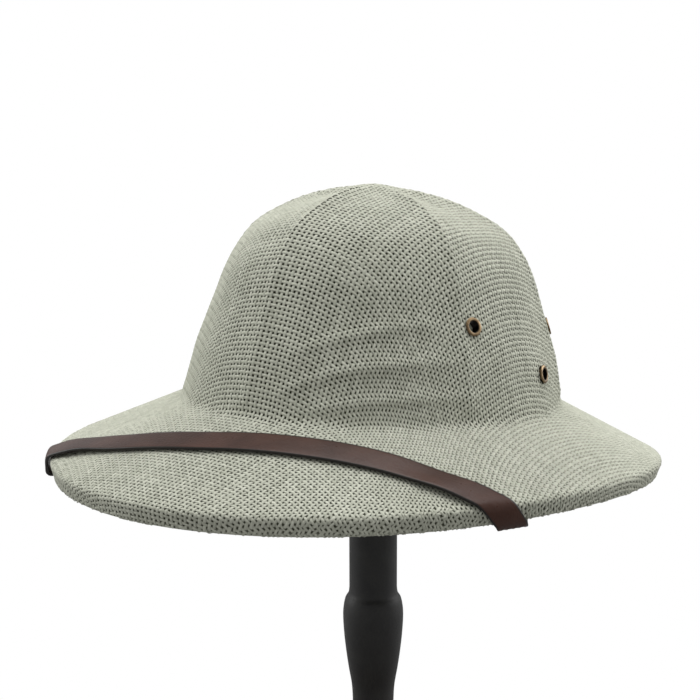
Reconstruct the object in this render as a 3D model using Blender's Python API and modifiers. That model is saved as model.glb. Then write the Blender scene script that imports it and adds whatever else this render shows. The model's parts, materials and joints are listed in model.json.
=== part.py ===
# Pith helmet on a plain turned stand: hollow cloth shell with a chin strap and six vent eyelets.
# Metres, Z up. The helmet's front faces -Y and the stand's foot is centred on the origin.
import math

import bmesh
import bpy
from mathutils import Matrix, Vector

for old in list(bpy.data.objects):
    bpy.data.objects.remove(old, do_unlink=True)

MM = 0.001

# Clearances
SEAT_GAP = 0.3 * MM
STRAP_GAP = 0.85 * MM

# Helmet placing
BROW_HEIGHT = 224 * MM
HELMET_TILT = math.radians(-4.6)

# Crown
CROWN_HALF_WIDTH = 92.4 * MM
CROWN_FRONT_LENGTH = 104.6 * MM
CROWN_BACK_LENGTH = 108.6 * MM
CROWN_HEIGHT = 108 * MM
TOP_FORWARD = 7 * MM
TOP_FORWARD_POWER = 10
CLOTH_THICKNESS = 2.0 * MM
JUNCTION_FILLET = 5 * MM

# Brim
BRIM_HALF_WIDTH = 144 * MM
BRIM_FRONT_LENGTH = 178.5 * MM
BRIM_BACK_LENGTH = 166 * MM
BRIM_FRONT_DROP = 30.2 * MM
BRIM_SIDE_DROP = 23 * MM
BRIM_BACK_DROP = 28 * MM
EDGE_BEND = 3 * MM
EDGE_HEIGHT = 6 * MM
EDGE_LEAN = 2.0 * MM

# Relief of the cloth
RIB_HEIGHT = 1.1 * MM
RIB_SPREAD = 3.5 * MM
PANEL_SINK = 1.2 * MM
CREASE_HEIGHT = 0.8 * MM
CREASE_SPREAD = 3.2 * MM
TOP_RING_RADIUS = 9 * MM
TOP_RING_SINK = 0.8 * MM

# Vent eyelets
EYELET_RADIUS = 4.6 * MM
EYELET_HOLE_RADIUS = 2.7 * MM
EYELET_BARREL_WALL = 0.5 * MM
EYELET_FLANGE_HEIGHT = 1.3 * MM
EYELET_BORE_RADIUS = 3.6 * MM
EYELET_BORE_DEPTH = 14 * MM
EYELET_FLAT = 9 * MM
EYELET_SIDES = 12

# Chin strap
STRAP_WIDTH = 14 * MM
STRAP_THICKNESS = 1.5 * MM
STRAP_FINE_STEP = 2.8 * MM
STRAP_LONG_STEP = 10 * MM
STRAP_FINE_FROM = 88 * MM
STRAP_END_HEIGHT = 24 * MM
STRAP_END_AZIMUTH = 80
RIVET_RADIUS = 4 * MM
RIVET_HEIGHT = 1.6 * MM

# Stand
BASE_RADIUS = 80 * MM
BASE_THICKNESS = 18 * MM
BASE_ROUNDING = 4 * MM
HEAD_RADIUS = 42 * MM
HEAD_BOTTOM = 302 * MM

# Shares of the crown's height and of its half-widths, from the brow up to the top.
CROWN_PROFILE = (
    # height, width
    (0.000, 1.000),
    (0.110, 0.976),
    (0.235, 0.946),
    (0.350, 0.903),
    (0.475, 0.854),
    (0.600, 0.805),
    (0.710, 0.739),
    (0.810, 0.636),
    (0.900, 0.446),
    (0.957, 0.256),
    (0.990, 0.112),
    (1.000, 0.000),
)

# Azimuth of each rib in degrees from the front towards the wearer's left, as seen from above.
RIB_AZIMUTHS = (0, 62, 118, 180, 242, 298)

# Where the columns of the cloth stand between one rib and the next.
PANEL_SHARES = (0.0, 0.05, 0.12, 0.22, 0.33, 0.44, 0.56, 0.67, 0.78, 0.88, 0.95)

# Soft creases across the crown's left front: height above the brow at both ends, in mm, azimuths in degrees.
CREASES = (
    # start_azimuth, start_height, end_azimuth, end_height
    (11, 35.0, 53, 45.5),
    (10, 15.5, 59, 29.0),
    (13, 4.5, 67, 13.0),
)

# Rings of cloth up the crown's outside, as heights above the brow in mm, up to the steep part's end.
OUTER_HEIGHTS = (6.5, 9.0, 12.0, 15.5, 19.0, 22.5, 26.0, 30.0, 34.0, 38.0, 42.0, 46.5, 52.0)
OUTER_TOP_SHARES = (0.56, 0.64, 0.71, 0.77, 0.83, 0.88, 0.92, 0.955, 0.98, 0.993)
INNER_SHARES = (0.10, 0.21, 0.34, 0.47, 0.60, 0.72, 0.82, 0.90, 0.965)
BRIM_SHARES = (0.16, 0.38, 0.60, 0.82)
INNER_BRIM_SHARES = (0.16, 0.45, 0.75)

# Eyelets of the wearer's left side: azimuth in degrees from the front, and height above the brow in mm.
EYELET_PLACES = (
    # azimuth, height
    (66, 44),
    (101, 19),
    (128, 39),
)

# Middle line of the strap over the brim, seen from above in mm, laid flat past the brim's edge at both ends.
STRAP_LINE = (
    # right_to_left, back
    (-137, -129.0),
    (-114, -131.0),
    (-92, -132.5),
    (-67, -133.2),
    (-45, -134.0),
    (-10, -131.0),
    (13, -125.7),
    (39, -117.8),
    (60, -110.1),
    (79, -103.2),
    (98, -98.0),
    (125, -90.5),
    (146, -84.0),
    (165, -77.5),
)

# Where the strap's corners stand across its width, in half-widths from its middle line.
STRAP_SHARES = (-1.0, -0.5, 0.0, 0.5, 1.0)
STRAP_MIDDLE = len(STRAP_SHARES) // 2

# Turned outline of the stand's post: height above the floor and radius, in mm.
POST_PROFILE = (
    # height, radius
    (18.3, 19.0),
    (23.0, 18.5),
    (29.0, 14.5),
    (38.0, 11.6),
    (50.0, 10.8),
    (60.0, 10.9),
    (68.0, 11.4),
    (77.0, 12.9),
    (86.0, 14.2),
    (95.0, 15.2),
    (104.0, 15.8),
    (110.0, 15.7),
    (115.5, 14.7),
    (118.5, 13.0),
    (122.0, 12.5),
    (210.0, 12.5),
    (301.7, 12.5),
)


def collection(name):
    made = bpy.data.collections.new(name)
    bpy.context.scene.collection.children.link(made)
    return made


HELMET = collection("pith_helmet")
CUTTERS = collection("cutters")


def material(name, colour, roughness, metallic=0.0):
    made = bpy.data.materials.new(name)
    made.use_nodes = True
    shader = made.node_tree.nodes["Principled BSDF"]
    shader.inputs["Base Color"].default_value = (*colour, 1.0)
    shader.inputs["Roughness"].default_value = roughness
    shader.inputs["Metallic"].default_value = metallic
    made.diffuse_color = (*colour, 1.0)
    return made


SAGE_CLOTH = material("sage_cloth", (0.42, 0.43, 0.35), 0.9)
BROWN_LEATHER = material("brown_leather", (0.10, 0.055, 0.04), 0.45)
AGED_BRASS = material("aged_brass", (0.35, 0.23, 0.12), 0.4, 1.0)
RIVET_BRASS = material("rivet_brass", (0.38, 0.26, 0.14), 0.4, 1.0)
BLACK_WOOD = material("black_wood", (0.012, 0.012, 0.012), 0.5)
BROWN_WOOD = material("brown_wood", (0.16, 0.10, 0.06), 0.5)
PAD_WOOD = material("pad_wood", (0.14, 0.09, 0.055), 0.6)


def smoothed(rows, share):
    """A smooth curve through a table's rows, at a share of the way along it."""
    place = share * (len(rows) - 1)
    at = min(int(place), len(rows) - 2)
    t = place - at
    before = rows[max(at - 1, 0)]
    start = rows[at]
    end = rows[at + 1]
    after = rows[min(at + 2, len(rows) - 1)]
    found = []
    for a, b, c, d in zip(before, start, end, after):
        slope_in = (c - a) / 2
        slope_out = (d - b) / 2
        rise = c - b
        found.append(b + slope_in * t + (3 * rise - 2 * slope_in - slope_out) * t * t
                     + (slope_in + slope_out - 2 * rise) * t ** 3)
    return tuple(found)


def mixed(a, b, share):
    return a + (b - a) * share


def oval(half_width, half_length, azimuth):
    """Distance from the middle to an ellipse's edge."""
    return 1 / math.hypot(math.sin(azimuth) / half_width, math.cos(azimuth) / half_length)


PROFILE_STEPS = 240
CROWN_CURVE = [smoothed(CROWN_PROFILE, step / PROFILE_STEPS) for step in range(PROFILE_STEPS + 1)]


def crown_width_share(height_share):
    """The crown's half-width at a share of its height, as a share of that at the brow."""
    for low, high in zip(CROWN_CURVE, CROWN_CURVE[1:]):
        if height_share <= high[0]:
            part = (height_share - low[0]) / max(high[0] - low[0], 1e-9)
            return max(mixed(low[1], high[1], part), 0.0)
    return 0.0


def brow_radius(azimuth):
    front = math.cos(azimuth) > 0
    return oval(CROWN_HALF_WIDTH, CROWN_FRONT_LENGTH if front else CROWN_BACK_LENGTH, azimuth)


def crown_radius(azimuth, height):
    return brow_radius(azimuth) * crown_width_share(height / CROWN_HEIGHT)


def top_shift(height):
    """How the crown's sections move forward towards the top."""
    return Vector((0, -TOP_FORWARD * max(height / CROWN_HEIGHT, 0.0) ** TOP_FORWARD_POWER, 0))


def brim_radius(azimuth):
    front = math.cos(azimuth) > 0
    return oval(BRIM_HALF_WIDTH, BRIM_FRONT_LENGTH if front else BRIM_BACK_LENGTH, azimuth)


def brim_drop(azimuth):
    end = BRIM_FRONT_DROP if math.cos(azimuth) > 0 else BRIM_BACK_DROP
    return mixed(BRIM_SIDE_DROP, end, math.cos(azimuth) ** 2)


def section_point(azimuth, part, share):
    """Radius and height of the cloth's outside, by part of the section and a share of that part."""
    brow = brow_radius(azimuth)
    edge = brim_radius(azimuth)
    slope = brim_drop(azimuth) / (edge - brow)
    foot = (crown_radius(azimuth, JUNCTION_FILLET), JUNCTION_FILLET)
    toe = (brow + JUNCTION_FILLET, -slope * JUNCTION_FILLET)
    if part == "crown":
        height = share * CROWN_HEIGHT
        return crown_radius(azimuth, height), height
    if part == "fillet":
        near = tuple(mixed(a, b, share) for a, b in zip(foot, (brow, 0.0)))
        far = tuple(mixed(a, b, share) for a, b in zip((brow, 0.0), toe))
        return tuple(mixed(a, b, share) for a, b in zip(near, far))
    bend_start = math.atan(slope)
    last = edge - EDGE_BEND * (1 - math.sin(bend_start))
    if part == "brim":
        radius = mixed(toe[0], last, share)
        return radius, -slope * (radius - brow)
    centre = (edge - EDGE_BEND, -slope * (last - brow) - EDGE_BEND * math.cos(bend_start))
    if part == "bend":
        turn = mixed(bend_start, math.pi / 2, share)
        return centre[0] + EDGE_BEND * math.sin(turn), centre[1] + EDGE_BEND * math.cos(turn)
    return centre[0] + EDGE_BEND - EDGE_LEAN * share, mixed(centre[1], centre[1] - EDGE_HEIGHT, share)


def on_ray(azimuth, radius, height):
    return Vector((radius * math.sin(azimuth), -radius * math.cos(azimuth), height))


def smooth_point(azimuth, part, share):
    radius, height = section_point(azimuth, part, share)
    return on_ray(azimuth, radius, height) + top_shift(height)


def outward(azimuth, part, share):
    """The cloth's outward direction there, before ribs and creases."""
    step = 0.01
    low = max(share - step, 0.0)
    high = min(share + step, 0.999)
    along = smooth_point(azimuth, part, high) - smooth_point(azimuth, part, low)
    if part == "crown":
        along.negate()
    round_way = smooth_point(azimuth + step, part, share) - smooth_point(azimuth - step, part, share)
    return along.cross(round_way).normalized()


def degrees_between(a, b):
    return (a - b + 180) % 360 - 180


def bell(distance, spread):
    return math.exp(-(distance / spread) ** 2)


def relief(azimuth, height):
    """How far ribs, sunk panels, creases and the top's ring move the crown's cloth outwards."""
    turned = math.degrees(azimuth) % 360
    radius = crown_radius(azimuth, height)
    fade = min(height / (20 * MM), 1.0) * min(radius / (30 * MM), 1.0)
    rib = min(abs(degrees_between(turned, place)) for place in RIB_AZIMUTHS)
    away = math.radians(rib) * max(radius, 1 * MM)
    moved = RIB_HEIGHT * bell(away, RIB_SPREAD) * min(max(radius / (10 * MM) - 1, 0.0), 1.0)
    moved -= PANEL_SINK * fade * math.sin(math.radians(min(rib * 3, 90))) ** 2
    for start, low, end, high in CREASES:
        along = degrees_between(turned, start) / degrees_between(end, start)
        if 0 < along < 1:
            line = mixed(low, high, along) * MM
            moved += CREASE_HEIGHT * math.sin(math.pi * along) ** 0.7 * bell(height - line, CREASE_SPREAD)
    moved -= TOP_RING_SINK * bell(radius - 2 * TOP_RING_RADIUS, TOP_RING_RADIUS)
    for place, lift in EYELET_PLACES:
        beside = math.radians(min(abs(degrees_between(turned, place)), abs(degrees_between(turned, -place))))
        moved *= 1 - bell(math.hypot(beside * radius, height - lift * MM), EYELET_FLAT)
    return moved


def outer_point(azimuth, part, share):
    point = smooth_point(azimuth, part, share)
    if part == "crown":
        return point + outward(azimuth, part, share) * relief(azimuth, share * CROWN_HEIGHT)
    return point


def inner_point(azimuth, part, share):
    sunk = relief(azimuth, share * CROWN_HEIGHT) * 0.5 if part == "crown" else 0.0
    return smooth_point(azimuth, part, share) + outward(azimuth, part, share) * (sunk - CLOTH_THICKNESS)


def azimuth_columns():
    columns = []
    for start, end in zip(RIB_AZIMUTHS, (*RIB_AZIMUTHS[1:], 360)):
        columns += [math.radians(mixed(start, end, share)) for share in PANEL_SHARES]
    return columns


def placed(point):
    """A point of the helmet's own frame, tilted and lifted onto the stand."""
    return Matrix.Translation((0, 0, BROW_HEIGHT)) @ Matrix.Rotation(HELMET_TILT, 4, "X") @ point


def add_object(name, mesh_builder, cloth, home=None):
    mesh = bpy.data.meshes.new(name)
    mesh_builder.to_mesh(mesh)
    mesh_builder.free()
    made = bpy.data.objects.new(name, mesh)
    (home or HELMET).objects.link(made)
    if cloth:
        mesh.materials.append(cloth)
    return made


def bridge(builder, ring, following):
    for index, corner in enumerate(ring):
        after = (index + 1) % len(ring)
        builder.faces.new((corner, following[index], following[after], ring[after]))


def cap(builder, ring, tip):
    for index, corner in enumerate(ring):
        builder.faces.new((tip, corner, ring[(index + 1) % len(ring)]))


def make_helmet_shell():
    columns = azimuth_columns()
    outer_rows = [("crown", share) for share in reversed(OUTER_TOP_SHARES)]
    outer_rows += [("crown", height * MM / CROWN_HEIGHT) for height in reversed(OUTER_HEIGHTS)]
    outer_rows += [("fillet", 0.25), ("fillet", 0.5), ("fillet", 0.75), ("brim", 0.0)]
    outer_rows += [("brim", share) for share in BRIM_SHARES]
    outer_rows += [("bend", 0.0), ("bend", 0.5), ("bend", 1.0), ("edge", 1.0)]
    inner_rows = [("edge", 1.0), ("bend", 1.0), ("bend", 0.0)]
    inner_rows += [("brim", share) for share in reversed(INNER_BRIM_SHARES)]
    inner_rows += [("brim", 0.0), ("fillet", 0.5), ("crown", JUNCTION_FILLET / CROWN_HEIGHT)]
    inner_rows += [("crown", share) for share in INNER_SHARES]
    builder = bmesh.new()
    rings = []
    for part, share in outer_rows:
        rings.append([builder.verts.new(placed(outer_point(a, part, share))) for a in columns])
    lip = [builder.verts.new(placed((outer_point(a, "edge", 1.0) + inner_point(a, "edge", 1.0)) / 2
                                    + Vector((0, 0, -0.6 * MM)))) for a in columns]
    rings.append(lip)
    for part, share in inner_rows:
        rings.append([builder.verts.new(placed(inner_point(a, part, share))) for a in columns])
    for ring, following in zip(rings, rings[1:]):
        bridge(builder, ring, following)
    top = Vector((0, 0, CROWN_HEIGHT)) + top_shift(CROWN_HEIGHT)
    cap(builder, list(reversed(rings[0])), builder.verts.new(placed(top)))
    cap(builder, rings[-1], builder.verts.new(placed(top - Vector((0, 0, CLOTH_THICKNESS)))))
    bmesh.ops.recalc_face_normals(builder, faces=builder.faces)
    shell = add_object("helmet_shell", builder, SAGE_CLOTH)
    for polygon in shell.data.polygons:
        polygon.use_smooth = True
    return shell


def eyelet_frames():
    """Each eyelet's name, and its frame on the cloth with Z outwards."""
    for number, (place, height) in enumerate(EYELET_PLACES, start=1):
        for side, sign in (("left", 1), ("right", -1)):
            azimuth = math.radians(place) * sign
            share = height * MM / CROWN_HEIGHT
            point = outer_point(azimuth, "crown", share)
            axis = outward(azimuth, "crown", share)
            turn = Matrix.Rotation(HELMET_TILT, 3, "X")
            frame = (turn @ axis).to_track_quat("Z", "Y").to_matrix().to_4x4()
            yield f"eyelet_{side}_{number}", Matrix.Translation(placed(point)) @ frame


def turned(name, profile, steps, finish, home=None):
    """A closed outline of radius and height, turned round Z."""
    builder = bmesh.new()
    corners = [builder.verts.new((radius, 0, height)) for radius, height in profile]
    for start, end in zip(corners, corners[1:] + corners[:1]):
        if start.co.x > 1e-7 or end.co.x > 1e-7:
            builder.edges.new((start, end))
    made = add_object(name, builder, finish, home)
    screw = made.modifiers.new("turn", "SCREW")
    screw.steps = steps
    screw.render_steps = steps
    screw.use_merge_vertices = True
    screw.merge_threshold = 0.00001
    screw.use_normal_calculate = True
    return made


def settle(made):
    """Applies an object's modifiers to its mesh."""
    shown = made.evaluated_get(bpy.context.evaluated_depsgraph_get())
    mesh = bpy.data.meshes.new_from_object(shown)
    made.modifiers.clear()
    made.data = mesh
    return made


def outward_faces(made):
    builder = bmesh.new()
    builder.from_mesh(made.data)
    bmesh.ops.recalc_face_normals(builder, faces=builder.faces)
    builder.to_mesh(made.data)
    builder.free()


def make_eyelets():
    barrel = EYELET_HOLE_RADIUS + EYELET_BARREL_WALL
    seat = SEAT_GAP + 0.1 * MM
    inside = -CLOTH_THICKNESS - 1.0 * MM
    outline = (
        (EYELET_HOLE_RADIUS, inside - 0.8 * MM),
        (EYELET_HOLE_RADIUS, 0.5 * EYELET_FLANGE_HEIGHT),
        (EYELET_HOLE_RADIUS + 0.5 * MM, EYELET_FLANGE_HEIGHT),
        (EYELET_RADIUS - 0.8 * MM, EYELET_FLANGE_HEIGHT),
        (EYELET_RADIUS, 0.6 * EYELET_FLANGE_HEIGHT),
        (EYELET_RADIUS, seat),
        (barrel, seat),
        (barrel, inside),
        (EYELET_RADIUS - 0.4 * MM, inside),
        (EYELET_RADIUS - 0.4 * MM, inside - 0.8 * MM),
    )
    for name, frame in eyelet_frames():
        eyelet = settle(turned(name, outline, EYELET_SIDES, AGED_BRASS))
        eyelet.data.transform(frame)
        outward_faces(eyelet)
        eyelet.data.shade_smooth()
        eyelet.data.set_sharp_from_angle(angle=math.radians(40))


def bore_eyelet_holes(shell):
    for name, frame in eyelet_frames():
        builder = bmesh.new()
        bmesh.ops.create_cone(builder, cap_ends=True, segments=EYELET_SIDES, radius1=EYELET_BORE_RADIUS,
                              radius2=EYELET_BORE_RADIUS, depth=EYELET_BORE_DEPTH)
        cutter = add_object(f"bore_{name}", builder, None, CUTTERS)
        cutter.data.transform(frame)
        cutter.hide_render = True
        cutter.display_type = "WIRE"
        cut = shell.modifiers.new(f"bore_{name}", "BOOLEAN")
        cut.operation = "DIFFERENCE"
        cut.solver = "EXACT"
        cut.object = cutter


def brim_height(azimuth, radius):
    """Height of the brim's upper face at a plan radius."""
    brow = brow_radius(azimuth)
    slope = brim_drop(azimuth) / (brim_radius(azimuth) - brow)
    if radius > brow + JUNCTION_FILLET:
        return -slope * (radius - brow)
    part = (radius - crown_radius(azimuth, JUNCTION_FILLET)) / JUNCTION_FILLET
    return mixed(JUNCTION_FILLET, -slope * JUNCTION_FILLET, min(max(part, 0.0), 1.0) ** 0.5)


def edge_normal(azimuth):
    """Outward direction of the brim's edge, seen from above."""
    step = 0.01
    ahead = on_ray(azimuth + step, brim_radius(azimuth + step), 0)
    behind = on_ray(azimuth - step, brim_radius(azimuth - step), 0)
    along = (ahead - behind).normalized()
    return Vector((along.y, -along.x, 0)) * (-1 if along.cross(on_ray(azimuth, 1, 0)).z > 0 else 1)


def draped(spot, rise):
    """The point that a spot of the flat strap reaches when it is laid over the brim and folded round its edge."""
    azimuth = math.atan2(spot.x, -spot.y)
    for _ in range(6):
        normal = edge_normal(azimuth)
        rim = smooth_point(azimuth, "bend", 0.0)
        past = (spot - rim).dot(normal)
        beside = spot - normal * past
        azimuth = math.atan2(beside.x, -beside.y)
    slope = math.atan(brim_drop(azimuth) / (brim_radius(azimuth) - brow_radius(azimuth)))
    if past < 0:
        around = math.atan2(spot.x, -spot.y)
        height = brim_height(around, spot.to_2d().length)
        lift = normal * math.sin(slope) + Vector((0, 0, math.cos(slope)))
        return Vector((spot.x, spot.y, height)) + lift * rise
    centre = rim - (normal * math.sin(slope) + Vector((0, 0, math.cos(slope)))) * EDGE_BEND
    middle = STRAP_GAP + STRAP_THICKNESS / 2
    bend = (EDGE_BEND + middle) * (math.pi / 2 - slope)
    if past < bend:
        turn = mixed(slope, math.pi / 2, past / bend)
        return centre + (normal * math.sin(turn) + Vector((0, 0, math.cos(turn)))) * (EDGE_BEND + rise)
    past -= bend
    drop = EDGE_HEIGHT
    if past < drop:
        return centre + normal * (EDGE_BEND + rise) + Vector((0, 0, -past))
    past -= drop
    lip = centre + normal * (EDGE_BEND - CLOTH_THICKNESS / 2) + Vector((0, 0, -drop))
    reach = CLOTH_THICKNESS / 2 + rise
    turn_length = (CLOTH_THICKNESS / 2 + middle) * math.radians(115)
    turn = math.radians(115) * min(past / turn_length, 1.0)
    point = lip + (normal * math.cos(turn) - Vector((0, 0, math.sin(turn)))) * reach
    past = max(past - turn_length, 0.0)
    return point - (normal * math.sin(turn) + Vector((0, 0, math.cos(turn)))) * past


def strap_stations():
    """Cross rows of the strap, from the wearer's right to the left."""
    rows = [(x * MM, y * MM) for x, y in STRAP_LINE]
    samples = [Vector((*smoothed(rows, step / 400), 0)) for step in range(401)]
    stations = []
    travelled = 0.0
    next_stop = 0.0
    for place, following in zip(samples, samples[1:]):
        if travelled >= next_stop:
            way = (following - place).normalized()
            side = Vector((-way.y, way.x, 0))
            stations.append(station(place, side))
            near_edge = abs(place.x) > STRAP_FINE_FROM
            next_stop += STRAP_FINE_STEP if near_edge else STRAP_LONG_STEP
        travelled += (following - place).length
    return stations


def cross_row(low, high):
    """A row's corners, as a distance across the strap and a height: its near face, then its far face back."""
    near = [(share * STRAP_WIDTH / 2, low) for share in STRAP_SHARES]
    return near + [(across, high) for across, _ in reversed(near)]


def row_middle(row):
    return (row[STRAP_MIDDLE] + row[len(row) - 1 - STRAP_MIDDLE]) / 2


def station(place, side):
    corners = cross_row(STRAP_GAP, STRAP_GAP + STRAP_THICKNESS)
    return [draped(place + side * across, rise) for across, rise in corners]


def inner_run(last, before, sign):
    """The hidden stretch from the brim's edge to the crown's inside, as rows like the last one."""
    middle = row_middle(last)
    way = (middle - row_middle(before)).normalized()
    width = (last[STRAP_MIDDLE + 1] - last[STRAP_MIDDLE - 1]).normalized()
    azimuth = math.radians(STRAP_END_AZIMUTH) * sign
    foot = inner_point(azimuth, "crown", 0.12)
    up = (inner_point(azimuth, "crown", 0.2) - foot).normalized()
    inwards = outward(azimuth, "crown", 0.12) * -1
    away = STRAP_GAP + STRAP_THICKNESS / 2
    goal = foot + inwards * away
    end = goal + up * STRAP_END_HEIGHT * 0.6
    end_width = up.cross(inwards).normalized()
    if end_width.dot(width) < 0:
        end_width.negate()
    span = (goal - middle).length
    start_pull = way * span * 0.9
    end_pull = (up - inwards * 0.6).normalized() * span * 0.7
    rows = []
    for step in range(1, 11):
        t = step / 10
        spot = (middle * (2 * t ** 3 - 3 * t ** 2 + 1) + start_pull * (t ** 3 - 2 * t ** 2 + t)
                + goal * (3 * t ** 2 - 2 * t ** 3) + end_pull * (t ** 3 - t ** 2))
        slope = (middle * (6 * t ** 2 - 6 * t) + start_pull * (3 * t ** 2 - 4 * t + 1)
                 + goal * (6 * t - 6 * t ** 2) + end_pull * (3 * t ** 2 - 2 * t)).normalized()
        across = width.lerp(end_width, t)
        across = (across - slope * across.dot(slope)).normalized()
        rows.append((spot, across, slope))
    for lift in (0.5, 1.0):
        rows.append((goal.lerp(end, lift), end_width, up))
    made = []
    for spot, across, slope in rows:
        out = across.cross(slope).normalized()
        if out.dot(inwards + Vector((0, 0, -1))) < 0:
            out.negate()
        corners = cross_row(-STRAP_THICKNESS / 2, STRAP_THICKNESS / 2)
        made.append([spot + across * a + out * b for a, b in corners])
    rivet = goal + up * STRAP_END_HEIGHT * 0.3
    return made, (rivet, inwards)


def make_chin_strap():
    stations = strap_stations()
    left_run, left_rivet = inner_run(stations[-1], stations[-2], 1)
    right_run, right_rivet = inner_run(stations[0], stations[1], -1)
    rows = list(reversed(right_run)) + stations + left_run
    builder = bmesh.new()
    rings = [[builder.verts.new(placed(corner)) for corner in row] for row in rows]
    for ring, following in zip(rings, rings[1:]):
        bridge(builder, ring, following)
    for ring in (rings[0], rings[-1]):
        for index in range(len(STRAP_SHARES) - 1):
            builder.faces.new((ring[index], ring[index + 1], ring[-2 - index], ring[-1 - index]))
    bmesh.ops.recalc_face_normals(builder, faces=builder.faces)
    strap = add_object("chin_strap", builder, BROWN_LEATHER)
    for polygon in strap.data.polygons:
        polygon.use_smooth = True
    strap.data.set_sharp_from_angle(angle=math.radians(40))
    for side, (spot, inwards) in (("left", left_rivet), ("right", right_rivet)):
        make_rivet(f"strap_rivet_{side}", spot, inwards)
    return strap


def make_rivet(name, spot, inwards):
    outline = (
        (0.0, RIVET_HEIGHT),
        (0.6 * RIVET_RADIUS, 0.85 * RIVET_HEIGHT),
        (RIVET_RADIUS, 0.3 * RIVET_HEIGHT),
        (RIVET_RADIUS, 0.0),
        (0.0, 0.0),
    )
    rivet = settle(turned(name, outline, 20, RIVET_BRASS))
    turn = Matrix.Rotation(HELMET_TILT, 3, "X")
    frame = (turn @ inwards).to_track_quat("Z", "Y").to_matrix().to_4x4()
    seat = spot + inwards * (STRAP_THICKNESS / 2 + SEAT_GAP)
    rivet.data.transform(Matrix.Translation(placed(seat)) @ frame)
    outward_faces(rivet)
    rivet.data.shade_smooth()
    rivet.data.set_sharp_from_angle(angle=math.radians(40))


def make_stand_head():
    """A plain pad under the crown's top, whose upper face follows the cloth's inside."""
    columns = [math.radians(10 * step) for step in range(36)]
    builder = bmesh.new()
    rings = []
    shares = (0.2, 0.45, 0.7, 0.88, 1.0)
    for share in shares:
        ring = []
        for azimuth in columns:
            radius = HEAD_RADIUS * share
            cloth = crown_height_at(azimuth, radius)
            height = cloth - CLOTH_THICKNESS - TOP_RING_SINK - 2 * SEAT_GAP
            if share == 1.0:
                height -= 2.5 * MM
            ring.append(builder.verts.new(placed(on_ray(azimuth, radius, height) + top_shift(cloth))))
        rings.append(ring)
    rim = [builder.verts.new((corner.co.x, corner.co.y, HEAD_BOTTOM)) for corner in rings[-1]]
    rings.append(rim)
    for ring, following in zip(rings, rings[1:]):
        bridge(builder, ring, following)
    top = Vector((0, 0, CROWN_HEIGHT - CLOTH_THICKNESS - TOP_RING_SINK - 2 * SEAT_GAP))
    cap(builder, list(reversed(rings[0])), builder.verts.new(placed(top + top_shift(CROWN_HEIGHT))))
    builder.faces.new(rim)
    bmesh.ops.recalc_face_normals(builder, faces=builder.faces)
    head = add_object("stand_head", builder, PAD_WOOD)
    for polygon in head.data.polygons:
        polygon.use_smooth = True
    head.data.set_sharp_from_angle(angle=math.radians(35))


def crown_height_at(azimuth, radius):
    """Height of the crown's outside over a plan radius near its top."""
    share = radius / brow_radius(azimuth)
    for low, high in zip(reversed(CROWN_CURVE), list(reversed(CROWN_CURVE))[1:]):
        if share <= high[1]:
            part = (share - low[1]) / max(high[1] - low[1], 1e-9)
            return CROWN_HEIGHT * mixed(low[0], high[0], part)
    return 0.0


def make_stand_post():
    outline = [(0.0, POST_PROFILE[-1][0] * MM)]
    outline += [(radius * MM, height * MM) for height, radius in reversed(POST_PROFILE)]
    outline.append((0.0, POST_PROFILE[0][0] * MM))
    post = settle(turned("stand_post", outline, 24, BLACK_WOOD))
    outward_faces(post)
    post.data.shade_smooth()
    post.data.set_sharp_from_angle(angle=math.radians(35))


def make_stand_base():
    round_off = BASE_ROUNDING
    outline = (
        (0.0, BASE_THICKNESS),
        (BASE_RADIUS - round_off, BASE_THICKNESS),
        (BASE_RADIUS - 0.3 * round_off, BASE_THICKNESS - 0.3 * round_off),
        (BASE_RADIUS, BASE_THICKNESS - round_off),
        (BASE_RADIUS, 1 * MM),
        (BASE_RADIUS - 1 * MM, 0.0),
        (0.0, 0.0),
    )
    base = settle(turned("stand_base", outline, 48, BROWN_WOOD))
    outward_faces(base)
    base.data.shade_smooth()
    base.data.set_sharp_from_angle(angle=math.radians(35))


helmet_shell = make_helmet_shell()
bore_eyelet_holes(helmet_shell)
make_eyelets()
make_chin_strap()
make_stand_head()
make_stand_post()
make_stand_base()
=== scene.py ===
# %% [markdown]
# # A woven sun helmet on its turned stand
#
# The imported solids are loaded first and stay where they are. Everything below is built in their
# frame: metres, Z up, the helmet's front towards -Y.

# %% Load the solids
import json
import math

import bmesh
import bpy
import numpy as np
from mathutils import Matrix, Vector, kdtree

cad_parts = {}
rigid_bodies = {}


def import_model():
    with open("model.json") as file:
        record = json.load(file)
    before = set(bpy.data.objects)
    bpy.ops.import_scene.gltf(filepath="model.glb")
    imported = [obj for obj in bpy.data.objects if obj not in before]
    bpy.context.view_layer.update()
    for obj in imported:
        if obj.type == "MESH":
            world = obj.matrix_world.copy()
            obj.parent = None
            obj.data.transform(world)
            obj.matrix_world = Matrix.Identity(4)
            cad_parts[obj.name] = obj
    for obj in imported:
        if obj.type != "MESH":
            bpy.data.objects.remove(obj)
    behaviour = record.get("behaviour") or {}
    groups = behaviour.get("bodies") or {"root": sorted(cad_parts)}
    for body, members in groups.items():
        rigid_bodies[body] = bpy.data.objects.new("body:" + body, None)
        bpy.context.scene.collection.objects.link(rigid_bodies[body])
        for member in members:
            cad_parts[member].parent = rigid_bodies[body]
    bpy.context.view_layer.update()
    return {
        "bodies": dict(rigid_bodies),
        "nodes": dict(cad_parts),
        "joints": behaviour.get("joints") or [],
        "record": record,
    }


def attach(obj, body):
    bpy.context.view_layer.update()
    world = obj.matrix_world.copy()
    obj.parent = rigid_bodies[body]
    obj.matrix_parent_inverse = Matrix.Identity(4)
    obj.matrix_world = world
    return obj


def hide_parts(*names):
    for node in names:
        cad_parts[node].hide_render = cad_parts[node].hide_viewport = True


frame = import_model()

MM = 0.001
bpy.ops.object.select_all(action="DESELECT")

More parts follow.
